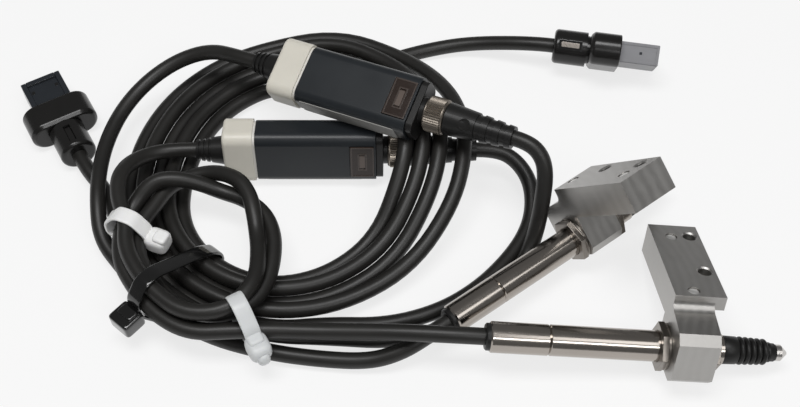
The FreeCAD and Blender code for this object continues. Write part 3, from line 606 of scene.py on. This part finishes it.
# Plug B, five turns of the big coil from the outside in, connector B
amplifier_cable_b = lead(BOX_B, PLUG_EXIT, LEAD)
amplifier_cable_b += [
    (33.2, 9, 8.5), (37, 3.2, 6.2), (37.4, -4.6, 4), (35, -12.3, 2.8), (29.5, -20.7, LYING),
    (21, -29.8, LYING), (10, -37, LYING), (-4, -41, LYING), (-19, -41, 2.8)]
for top, side, hump in ((4, 3.15, 17.4), (3, 1.70, 18.0), (2, 0.68, 18.4), (1, -0.34, 18.8)):
    amplifier_cable_b += tied(top, COIL_BOTTOM, COIL_TOP)
    amplifier_cable_b += fanned(top, side, top - 1, hump)
amplifier_cable_b += tied(0, COIL_BOTTOM, COIL_TOP)
amplifier_cable_b += [
    (-27.5, 39.6, 2.4), (-16, 45, LYING), (-4, 52.5, LYING), (10, 57.5, LYING), (23, 58.5, 4)]
amplifier_cable_b += lead(END_B, 0, -LEAD)[::-1]

# Plug A, half a turn along the coil's outside, connector A
amplifier_cable_a = lead(BOX_A, PLUG_EXIT, SHORT_LEAD)
amplifier_cable_a += [
    (37.6, -4.2, 27.7), (38.7, -7.2, 23.8), (38.3, -10.6, 18), (37.5, -14.2, 11), (35.6, -18.8, 5),
    (31.3, -26, 2.5), (24, -34.6, LYING), (12.5, -42, LYING), (-2, -45.8, 2.6), (-19, -45.4, 4.2)]
amplifier_cable_a += tied(5, COIL_BOTTOM, 205)
amplifier_cable_a += [(-80.2, -5.2, 4.4), (-84.2, 2.4, 4)]
amplifier_cable_a += lead(END_A, 0, -LEAD)[::-1]

# Box A, round the coil's left and its near side, head 1
sensor_cable_1 = lead(BOX_A, BOOT_EXIT, -LEAD)
sensor_cable_1 += [
    (-55.5, 42.5, 18), (-65.5, 42, 14.5), (-74.5, 36.5, 11.5), (-81, 27.5, 9.6), (-84.3, 16.5, 8.8),
    (-85, 5.5, 8.8), (-84, -5, 8.8), (-82.4, -15.2, 4.8)]
sensor_cable_1 += tied(6, 214, COIL_BOTTOM)
sensor_cable_1 += [(-21, -51, 2.6), (-8, -52, 3.1), (0.5, -50.7, 6)]
sensor_cable_1 += lead(HEAD_1, HEAD_EXIT, -LEAD)[::-1]

# Box B, the ring, head 2. The ring is wound by hand: first on top of the groove, then inside and outside
# by turns. It crosses itself at the upper right and the upper left, in humps of one cable's height.
INNER = RING_R - STRAND_PITCH / 2
OUTER = RING_R + STRAND_PITCH / 2
OVER = RING_AXIS + CROSSING
ring_angles = [172, 195, 220, 245, 270, 295, 318, 340, 362, 382, 400, 418, 440, 462, 480, 500, 522, 545, 570,
               595, 620, 645, 662, 680, 700, 722, 745, 768, 790, 812, 832, 850, 872, 895, 920, 942]
ring_radii = [RING_R] * 6
ring_radii += [RING_R - 0.3, INNER + 0.8, INNER + 0.1, INNER + 0.3, INNER + 1.7]
ring_radii += [OUTER - 1.4, OUTER, OUTER - 0.1, OUTER - 1.4, INNER + 0.2]
ring_radii += [INNER] * 6
ring_radii += [RING_R - 0.9, OUTER - 0.8, OUTER, OUTER - 0.1, OUTER - 1.3]
ring_radii += [INNER + 1.3, INNER, INNER + 0.2, INNER + 1.7, OUTER - 0.4]
ring_radii += [OUTER] * 4
ring_heights = [OVER] + [RING_PILE] * 4
ring_heights += [OVER, OVER, RING_AXIS + 2.6, RING_AXIS + 1.6, RING_AXIS + 3.9, OVER, OVER, RING_AXIS + 2.2]
ring_heights += [RING_AXIS] * 16
ring_heights += [RING_AXIS + 2.6, OVER, OVER, RING_AXIS + 0.2]
ring_heights += [RING_AXIS] * 3
sensor_cable_2 = lead(BOX_B, BOOT_EXIT, -LEAD)
sensor_cable_2 += [(-70.3, 10, 10.6), (-75.4, 4.5, 13.4), (-77, -2.5, OVER), (-76.2, -9.5, OVER)]
sensor_cable_2 += on_ring(ring_angles, ring_radii, ring_heights)
sensor_cable_2 += [
    (-63, -42.8, RING_AXIS), (-53.6, -48.2, RING_AXIS), (-43.3, -47.6, RING_AXIS), (-33, -47, 11),
    (-22, -47.2, 10.6), (-10, -48, 11.8), (2, -49.2, 13.6)]
sensor_cable_2 += lead(HEAD_2, HEAD_EXIT, -LEAD)[::-1]

cord_b = cable("amplifier_cable_b", amplifier_cable_b,
               ["coil_big", "cord_b_fan", "cord_b_plug", "cord_b_end"])
cord_a = cable("amplifier_cable_a", amplifier_cable_a, ["cord_a_plug", "cord_a_end"])
cord_1 = cable("sensor_cable_1", sensor_cable_1, ["head_cord_1_box", "head_cord_1_end"])
cord_2 = cable("sensor_cable_2", sensor_cable_2, ["coil_small", "head_cord_2_box", "head_cord_2_end"])


# Cable ties

TIE_SOFT = 1.6
LEFT_TIE = 172.0
LEFT_SKEW = -14.0
LEFT_HALF = 5.6
LEFT_CROWN = 2.2
LEFT_SHOULDER = 14.0
EXIT_TIE = -60.0
EXIT_NEAR = -23.4
EXIT_FAR = -34.6
EXIT_SHOULDER = 14.4
BLACK_TIE = 230.0
BLACK_NEAR = -37.2
BLACK_FAR = -64.8
BLACK_BOTTOM = 1.0
BLACK_STEPS = 240
LOCK_LENGTH = 6.6
LOCK_HEIGHT = 5.4
LOCK_WIDTH = 6.0
RING_BOTTOM = RING_AXIS - CORD_R - 0.05
RING_TOP = RING_PILE + CORD_R + 0.3
EXIT_TOP = RING_TOP + 0.6


def ring_place(angle):
    """Place of a tie on the ring: its Y points to the ring's middle."""
    return Place(RING_CENTRE[0], RING_CENTRE[1], 0.0, 90 + angle)


def lock_head(place, y, z):
    """Bulb shaped lock: a soft block, a smaller round nose below it and the strap's end that stands out."""
    block = pillow(place, (0, y, z), (LOCK_WIDTH / 2, LOCK_LENGTH / 2, LOCK_HEIGHT / 2), 0.55)
    nose = pillow(place, (0, y - 0.32 * LOCK_LENGTH, z - 0.22 * LOCK_HEIGHT),
                  (0.3 * LOCK_WIDTH, 0.34 * LOCK_LENGTH, 0.4 * LOCK_HEIGHT), 0.7)
    end = pillow(place, (0, y + 0.2 * LOCK_LENGTH, z + 0.36 * LOCK_HEIGHT),
                 (0.36 * LOCK_WIDTH, 0.3 * LOCK_LENGTH, 0.26 * LOCK_HEIGHT), 0.5)
    return [block, nose, end]


left_side = Place(*ring_place(LEFT_TIE).bench((0, -RING_R, 0)), 90 + LEFT_TIE + LEFT_SKEW)
left_round = [(-LEFT_HALF, RING_BOTTOM), (LEFT_HALF, RING_BOTTOM), (LEFT_HALF, LEFT_SHOULDER),
              (LEFT_CROWN, RING_TOP), (-LEFT_CROWN, RING_TOP), (-LEFT_HALF, LEFT_SHOULDER)]
left_band = strap(left_side, left_round, TIE_WIDTH, TIE_THICK, TIE_SOFT)
tie_left = piece("tie_left_strap", [left_band] + lock_head(left_side, 8.6, 11.4), tie_white,
                 "bundle")
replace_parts(tie_left, "tie_left")

exit_side = ring_place(EXIT_TIE)
exit_round = [(EXIT_FAR, RING_BOTTOM), (EXIT_NEAR, RING_BOTTOM), (EXIT_NEAR, EXIT_SHOULDER),
              (-25.6, EXIT_TOP), (-29.4, EXIT_TOP), (EXIT_FAR, EXIT_SHOULDER)]
exit_band = strap(exit_side, exit_round, TIE_WIDTH, TIE_THICK, TIE_SOFT)
tie_exit = piece("tie_ring_strap", [exit_band] + lock_head(exit_side, -37.4, 10.8), tie_clear,
                 "bundle")
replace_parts(tie_exit, "tie_small_coil")

# The black tie goes from the coil's inside over the ring and down on the outside
black_side = Place(COIL_CENTRE[0], COIL_CENTRE[1], 0.0, 90 + BLACK_TIE)
black_round = [(BLACK_NEAR, BLACK_BOTTOM), (BLACK_NEAR, 5.0), (-41.4, 9.2), (-57.4, RING_TOP),
               (-61.2, RING_TOP), (BLACK_FAR, 14.2), (BLACK_FAR, 8.6), (-61.0, BLACK_BOTTOM)]
black_band = strap(black_side, black_round, TIE_WIDTH, TIE_THICK, TIE_SOFT, BLACK_STEPS)
black_lock = [pillow(black_side, (0, -68.4, 9.5), (3.5, 3.2, 2.5), 0.25),
              pillow(black_side, (0, -67.6, 11.6), (2.4, 1.6, 0.9), 0.3)]
tie_bundle = piece("tie_bundle_strap", [black_band] + black_lock, tie_black, "bundle")
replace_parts(tie_bundle, "tie_bundle")


# Sensor heads

NOSE_FRONT = 14.2
BELLOWS_R = 3.65
BELLOWS_COLLAR = 4.2
BELLOWS_LENGTH = 11.8
BELLOWS_RIBS = 5
COLLAR_BORE = 2.1
COLLAR_TAPER = 0.1
FRONT_ROUND = 0.3
REAR_ROUND = 0.4
FOLD_BORE = 2.0
FOLD_END = 0.5
SEAM = 0.05
RIB_DEPTH = 0.85
RIB_TAPER = 0.35
RIB_STEPS = 24
CUFF_LENGTH = 2.4
CUFF_R = 2.55
CUFF_BEAD = 0.2
CUFF_BEAD_END = 0.8
CUFF_ROUND = 0.4
SPINDLE_R = 1.55
PLATE_TOP = 14.8
DOWEL_FROM_BACK = 5.2
DOWELS = (29.2, 4.2)
BRACKET_SHIFT = 2.7
PIN_R = 1.55
PIN_DEEP = 4.9
PIN_SUNK = 0.05
PIN_DOME = 0.45
PIN_STEPS = 32
SPRING_START = -28.0
SPRING_LENGTH = 14.0
SPRING_R = 2.35
SPRING_WIRE = 0.28
SPRING_TURNS = 9
TURN_STEPS = 24
WIRE_STEPS = 8
BRACKET_BEVEL = 0.16
NUT_BEVEL = 0.25


def collar_profile():
    """Smooth collar of the bellows: a sleeve with a small round at both edges."""
    start = NOSE_FRONT
    end = NOSE_FRONT + BELLOWS_COLLAR
    return [(start, COLLAR_BORE), (start, BELLOWS_R - FRONT_ROUND), (start + FRONT_ROUND, BELLOWS_R),
            (end - REAR_ROUND, BELLOWS_R - COLLAR_TAPER), (end, BELLOWS_R - REAR_ROUND), (end, COLLAR_BORE),
            (start, COLLAR_BORE)]


def ribs_profile():
    """Ribs whose height is the root of a sine, a little lower towards the cuff, and the wall back inside."""
    start = NOSE_FRONT + BELLOWS_COLLAR + SEAM
    end = NOSE_FRONT + BELLOWS_LENGTH
    share = np.linspace(0, 1, RIB_STEPS * BELLOWS_RIBS + 1)
    wave = np.sqrt(np.abs(np.sin(np.pi * BELLOWS_RIBS * share)))
    radius = BELLOWS_R - RIB_TAPER * share - RIB_DEPTH * (1 - wave)
    ribs = np.stack([start + (end - start) * share, radius], -1)
    back = [(end, SPINDLE_R), (end - FOLD_END, SPINDLE_R), (end - FOLD_END, FOLD_BORE), (start, FOLD_BORE),
            tuple(ribs[0])]
    return np.vstack([ribs, back])


def cuff_profile():
    """Cuff of the bellows with round edges and a bead at its rear."""
    start = NOSE_FRONT + BELLOWS_LENGTH + SEAM
    end = NOSE_FRONT + BELLOWS_LENGTH + CUFF_LENGTH
    neck = CUFF_R - CUFF_BEAD
    return [(start, SPINDLE_R), (start, neck), (start + CUFF_BEAD, CUFF_R), (start + CUFF_BEAD_END, CUFF_R),
            (start + CUFF_BEAD_END + CUFF_BEAD, neck), (end - CUFF_ROUND, neck), (end, neck - CUFF_ROUND),
            (end, SPINDLE_R), (start, SPINDLE_R)]


def pin_profile():
    """Dowel pin in the plate: a short round bar whose end, a quarter wave, comes just below the surface."""
    quarter = np.linspace(0, np.pi / 2, 9)
    dome = np.stack([-PIN_SUNK - PIN_DOME * (1 - np.cos(quarter)), PIN_R * np.sin(quarter)], -1)
    return np.vstack([dome, [(-PIN_DEEP, PIN_R), (-PIN_DEEP, 0.0)]])


def helix(place):
    """Coil spring: a small circle carried along a helix about the place's X; it shrinks to a point at both
    ends."""
    t = np.linspace(0, 2 * np.pi * SPRING_TURNS, TURN_STEPS * SPRING_TURNS)
    t = np.concatenate([t[:1], t, t[-1:]])[:, None]
    wire = np.full_like(t, SPRING_WIRE)
    wire[[0, -1]] = 0.0
    v = np.linspace(0, 2 * np.pi, WIRE_STEPS, endpoint=False)[None, :]
    r = SPRING_R + wire * np.cos(v)
    x = SPRING_START + SPRING_WIRE + (SPRING_LENGTH - 2 * SPRING_WIRE) * t / t[-1] + wire * np.sin(v)
    return place.frame(np.stack([x, r * np.cos(t), r * np.sin(t)], -1)), False, True


# Which way each bracket's plate points along its head's Y, and how far it is set back
HANDS = {1: (-1, BRACKET_SHIFT), 2: (1, 0.0)}
ribs_start = NOSE_FRONT + BELLOWS_COLLAR

for number, place in HEADS.items():
    moving = "spindle_body_%d" % number
    collar = piece("bellows_collar_%d" % number, [spun(collar_profile(), place)], bellows_rubber,
                   "bundle", SHARP_ROUND)
    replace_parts(collar, "bellows_%d" % number)
    folds = piece("bellows_folds_%d" % number, [spun(ribs_profile(), place)], bellows_rubber,
                  "bundle", SHARP_FOLD)
    place.way((1, 0, 0))
    place.frame((ribs_start, 0, 0))
    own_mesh(folds)
    piece("bellows_cuff_%d" % number, [spun(cuff_profile(), place)], bellows_rubber,
          moving, SHARP_ROUND)
    spring = piece("spring_wire_%d" % number, [helix(place)], bare_steel[number], "bundle")
    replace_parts(spring, "return_spring_%d" % number)
    place.way((1, 0, 0))
    place.frame((SPRING_START, 0, 0))
    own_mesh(spring)
    edged("bracket_%d" % number, BRACKET_BEVEL, aluminium[number])
    hand, back = HANDS[number]
    pins = [place.turned(1, -90, (DOWEL_FROM_BACK - back, hand * y, PLATE_TOP)) for y in DOWELS]
    piece("dowel_pins_%d" % number, [spun(pin_profile(), pin, PIN_STEPS) for pin in pins], pin_steel,
          "bundle", SHARP_PIN)
    dress(stainless[number], "front_sleeve_%d" % number, "rear_sleeve_%d" % number)
    dress(bare_steel[number], "spindle_%d" % number, "contact_tip_%d" % number)
    dress(bronze, "guide_bush_%d" % number)
    dress(black_moulding, "rear_gland_%d" % number)

edged("clamp_nuts", NUT_BEVEL, nut_steel)
dress(board_green, "circuit_boards", "readers")


# Relay boxes

BOX_WIDTH = 17.0
BOX_THICK = 10.0
BOX_BEVEL = 0.25
WINDOW_BEVEL = 0.15
SOCKET_BEVEL = 0.2
COUPLING_START = 46.3
COUPLING_LENGTH = 5.9
COUPLING_R = 5.0
COUPLING_BORE = 4.0
COUPLING_MOUTH = 3.05
COUPLING_LIP = 1.5
COUPLING_CHAMFER = 0.35
RIM_END = 0.65
BAND_START = 0.7
KNURLS = 44
KNURL_DEPTH = 0.28
KNURL_STEPS = 8

# Flat pieces on the boxes: from x, to x, from y, to y
WINDOW = (35.95, 42.45, -5.5, 5.5)
WINDOW_SLOT = (37.9, 40.5, -3.15, 3.15)
LAMP_BAR = (38.3, 40.1, -2.3, 2.3)
LABEL = (10.5, 40.0, -3.2, 3.2)
CAP_NOTCH = (1.6, 7.6, -2.4, 2.4)
WINDOW_TOP = BOX_THICK / 2 + 0.3
LAMP_MIDDLE = BOX_THICK / 2 + 0.1
LAMP_THICK = 0.3
LABEL_THICK = 0.24
EDGE_WIDE = 0.4
WINDOW_EDGE_THICK = 0.24
SLOT_EDGE_THICK = 0.2
PLATE_SQUARE = 0.12
PLATE_STEPS = 24
CROSS_PLATE = 0.95


def knurled(place):
    """Coupling nut: a turned sleeve whose middle band carries straight ridges, a triangle wave round it."""
    start = COUPLING_START
    end = start + COUPLING_LENGTH
    crown = COUPLING_R - KNURL_DEPTH
    low = crown - COUPLING_CHAMFER
    outside = [(start, low), (start + COUPLING_CHAMFER, crown), (start + RIM_END, crown)]
    outside += [(x, crown) for x in np.linspace(start + BAND_START, end - BAND_START, 12)]
    outside += [(end - RIM_END, crown), (end - COUPLING_CHAMFER, crown), (end, low)]
    lip = end - COUPLING_LIP
    inside = [(end, COUPLING_MOUTH), (lip, COUPLING_MOUTH), (lip, COUPLING_BORE)]
    profile = [(start, COUPLING_BORE)] + outside + inside + [(start, COUPLING_BORE)]

    def ridges(x, angle):
        wave = np.abs((angle * KNURLS / (2 * np.pi)) % 1.0 - 0.5) * 2
        on_band = (x > start + RIM_END) & (x < end - RIM_END)
        return np.where(on_band, KNURL_DEPTH * wave, 0.0)

    return spun(profile, place, KNURL_STEPS * KNURLS, ridges)


def plate_patch(place, x0, x1, y0, y1, z, thick):
    """Thin soft edged plate on a face of a box: a very square pillow."""
    centre = ((x0 + x1) / 2, (y0 + y1) / 2, z)
    half = ((x1 - x0) / 2, (y1 - y0) / 2, thick / 2)
    return pillow(place, centre, half, PLATE_SQUARE, PLATE_STEPS)


def rim(place, x0, x1, y0, y1, z, wide, thick):
    """Raised edge round a rectangle: two plates along it and two across, the latter a little lower."""
    return [plate_patch(place, x0, x1, y0, y0 + wide, z, thick),
            plate_patch(place, x0, x1, y1 - wide, y1, z, thick),
            plate_patch(place, x0, x0 + wide, y0, y1, z, CROSS_PLATE * thick),
            plate_patch(place, x1 - wide, x1, y0, y1, z, CROSS_PLATE * thick)]


for letter, place in BOXES.items():
    nut = piece("knurled_nut_" + letter, [knurled(place)], coupling_metal,
                "coupling_body_" + letter, SHARP_KNURL)
    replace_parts(nut, "coupling_nut_" + letter)
    edged("box_shell_" + letter, BOX_BEVEL, box_plastic)
    edged("window_" + letter, WINDOW_BEVEL, window_tint)
    edged("socket_" + letter, SOCKET_BEVEL, black_moulding)
    dress(cap_cream, "lamp_cap_" + letter)
    dress(black_moulding, "boot_" + letter, "plug_body_" + letter)
    side = place.turned(0, 90)
    strip = plate_patch(side, *LABEL, BOX_WIDTH / 2, LABEL_THICK)
    piece("side_label_" + letter, [strip], strip_grey, "bundle", SHARP_ROUND)
    notch = plate_patch(side, *CAP_NOTCH, BOX_WIDTH / 2, LABEL_THICK)
    piece("cap_notch_" + letter, [notch], window_tint, "bundle", SHARP_ROUND)
    bar = plate_patch(place, *LAMP_BAR, LAMP_MIDDLE, LAMP_THICK)
    piece("lamp_bar_" + letter, [bar], lamp_glow, "bundle", SHARP_ROUND)
    edges = rim(place, *WINDOW, WINDOW_TOP, EDGE_WIDE, WINDOW_EDGE_THICK)
    edges += rim(place, *WINDOW_SLOT, WINDOW_TOP, EDGE_WIDE, SLOT_EDGE_THICK)
    piece("window_edge_" + letter, edges, window_edge, "bundle", SHARP_ROUND)

dress(gasket_white, "gaskets")

# The round mould mark on plug A: its place along the box and out from it, its turn about the plug, its shape
MARK_R = 1.7
MARK_ALONG = 58.4
MARK_OUT = 4.15
MARK_TURN = 24.0
MARK_ROOT = -0.8
MARK_RIM = 0.1
MARK_RIM_IN = 0.35
MARK_DISH = -0.05
MARK_DISH_IN = 0.5
MARK_STEPS = 40


def mark_profile():
    """Round mould mark: a shallow dish with a raised rim, on a short bar that is sunk in the plug."""
    return [(MARK_ROOT, 0.0), (MARK_ROOT, MARK_R), (0.0, MARK_R), (MARK_RIM, MARK_R - MARK_RIM),
            (MARK_RIM, MARK_R - MARK_RIM_IN), (MARK_DISH, MARK_R - MARK_DISH_IN), (MARK_DISH, 0.0)]


mark_place = BOX_A.turned(0, MARK_TURN).turned(1, -90, (MARK_ALONG, 0, MARK_OUT))
piece("plug_mark_a", [spun(mark_profile(), mark_place, MARK_STEPS)], black_moulding,
      "bundle", SHARP_PIN)


# Amplifier connectors

COLLAR_BEVEL = 0.3
INSERT_BEVEL = 0.25
LATCH_BEVEL = 0.15
BARREL_R = 5.2
INSERT_START = 19.8
INSERT_END = 31.3
INSERT_TOP = 3.15
INSERT_SIDE = 6.0
INSERT_HALF = 3.0
GROOVE = 0.8
GROOVE_HALF = 4.4
RIM_WIDE = 0.8
RIM_THICK = 0.4
LOCK_FRAME = (1.5, 8.5, -1.5, 1.5)
LOCK_FRAME_MIDDLE = BARREL_R - 0.15
LOCK_FRAME_THICK = 0.4
LOCK_BAR = (2.3, 7.7, -0.75, 0.75)
LOCK_BAR_THICK = 0.3
HOLE_A_START = 26.4
HOLE_A_END = 27.6
HOLE_A_SIDE = 3.6
HOLE_A_HALF = 0.5
HOLE_B = (25.5, 26.3, -0.3, 0.5)
HOLE_THICK = 0.1

# Letter, the side of the frame that it lies on, the finishes of its insert and of its lock bar
CONNECTORS = (("a", -1, dark_insert_and_hole_shade, connector_black), ("b", 1, insert_grey, nut_steel))
for letter, half, insert, bar in CONNECTORS:
    dress(connector_black, "barrel_" + letter)
    edged("collar_" + letter, COLLAR_BEVEL, connector_black)
    edged("insert_" + letter, INSERT_BEVEL, insert)
    edged("latches", LATCH_BEVEL, bar, "latch_" + letter, half)

# A second lock bar shows on the near side of connector B, in a frame of its own
near_side = END_B.turned(0, 90)
lock_frame = plate_patch(near_side, *LOCK_FRAME, LOCK_FRAME_MIDDLE, LOCK_FRAME_THICK)
piece("lock_frame_b", [lock_frame], tie_black, "bundle", SHARP_ROUND)
lock_bar = plate_patch(near_side, *LOCK_BAR, BARREL_R, LOCK_BAR_THICK)
piece("lock_bar_b", [lock_bar], nut_steel, "bundle", SHARP_ROUND)

# Insert A is closed at its end; its two pin sockets are thin black plates, painted shade in place of
# openings
insert_bridge = plate_patch(END_A, INSERT_END - 2 * GROOVE, INSERT_END, -GROOVE_HALF, GROOVE_HALF,
                            INSERT_TOP - GROOVE / 2, GROOVE)
piece("insert_bridge_a", [insert_bridge], dark_insert_and_hole_shade, "bundle", SHARP_ROUND)
# The two pin sockets: thin black plates of painted shade on the insert's face
hole_shades = [plate_patch(END_A, HOLE_A_START, HOLE_A_END, y - HOLE_A_HALF, y + HOLE_A_HALF,
                     INSERT_TOP - GROOVE, HOLE_THICK) for y in (-HOLE_A_SIDE, HOLE_A_SIDE)]
piece("pin_hole_shades_a", hole_shades, tie_black, "bundle", SHARP_ROUND)

# Insert B has a raised rim on three sides of its near face, and one pin socket drawn as a thin dark plate of
# painted shade in place of an opening
rims = [plate_patch(near_side, INSERT_START, INSERT_END, -INSERT_HALF, RIM_WIDE - INSERT_HALF,
                    INSERT_SIDE, RIM_THICK),
        plate_patch(near_side, INSERT_START, INSERT_END, INSERT_HALF - RIM_WIDE, INSERT_HALF,
                    INSERT_SIDE, RIM_THICK),
        plate_patch(near_side, INSERT_END - RIM_WIDE, INSERT_END, -INSERT_HALF, INSERT_HALF,
                    INSERT_SIDE, CROSS_PLATE * RIM_THICK)]
piece("insert_rim_b", rims, insert_grey, "bundle", SHARP_ROUND)
# The pin socket: a thin dark plate of painted shade on the insert's face
hole_shade = plate_patch(near_side, *HOLE_B, INSERT_SIDE, HOLE_THICK)
piece("pin_hole_shade_b", [hole_shade], dark_insert_and_hole_shade, "bundle", SHARP_ROUND)


# Floor and light

FLOOR = 3.0
FLOOR_DROP = 0.0002
FLOOR_COLOUR = (0.90, 0.90, 0.90, 1.0)
WHITE = (1.0, 1.0, 1.0, 1.0)
WHITE_SHARE = 0.75
ROOM_COLOUR = (0.17, 0.17, 0.17, 1.0)

# The floor shows nearly white to the camera, in mirrors and through clear pieces, and keeps a shadow
floor_finish = Finish("floor")
seen = floor_finish.add("ShaderNodeLightPath", {}, {}, "Is Camera Ray")
mirrored = floor_finish.add("ShaderNodeLightPath", {}, {}, "Is Glossy Ray")
through = floor_finish.add("ShaderNodeLightPath", {}, {}, "Is Transmission Ray")
floor_finish.shade(Base_Color=FLOOR_COLOUR, Roughness=0.9, Specular_IOR_Level=0.0)
white = floor_finish.add("ShaderNodeEmission", {}, {"Color": WHITE, "Strength": 1.0})
plain = Value(floor_finish, floor_finish.shader.outputs[0])
blend = floor_finish.add("ShaderNodeMixShader", {}, {
    0: WHITE_SHARE * seen.largest(mirrored).largest(through), 1: plain, 2: white})
floor_finish.feed(floor_finish.tree.nodes["Material Output"].inputs["Surface"], blend)

floor_mesh = bpy.data.meshes.new("floor")
floor_corners = [(-FLOOR, -FLOOR, 0), (FLOOR, -FLOOR, 0), (FLOOR, FLOOR, 0), (-FLOOR, FLOOR, 0)]
floor_mesh.from_pydata(floor_corners, [], [(0, 1, 2, 3)])
floor_mesh.materials.append(floor_finish.material)
floor = bpy.data.objects.new("floor", floor_mesh)
floor.location.z = -FLOOR_DROP
scene.collection.objects.link(floor)

world = bpy.data.worlds.new("room")
world.use_nodes = True
world.node_tree.nodes["Background"].inputs["Color"].default_value = ROOM_COLOUR
scene.world = world


def softbox(name, spot, aim, width, height, watts):
    """Area lamp at a frame point, turned to face another; cross products give its other axes."""
    lamp = bpy.data.lights.new(name, "AREA")
    lamp.shape = "RECTANGLE"
    lamp.size = width
    lamp.size_y = height
    lamp.energy = watts
    thing = bpy.data.objects.new(name, lamp)
    scene.collection.objects.link(thing)
    away = np.array(spot, float) - np.array(aim, float)
    away /= np.linalg.norm(away)
    right = np.cross((0.0, 1.0, 0.001), away)
    right /= np.linalg.norm(right)
    matrix = np.eye(4)
    matrix[:3, :3] = np.stack([right, np.cross(away, right), away], -1)
    matrix[:3, 3] = spot
    thing.matrix_world = Matrix(matrix.tolist())


softbox("key", (-0.10, -0.05, 0.75), (0.0, 0.0, 0.0), 0.45, 0.22, 3.0)
softbox("side", (0.39, -0.25, 0.75), (0.05, -0.05, 0.0), 0.35, 0.30, 0.7)
softbox("fill", (0.20, -0.50, 0.60), (0.0, 0.0, 0.0), 0.40, 0.10, 1.0)
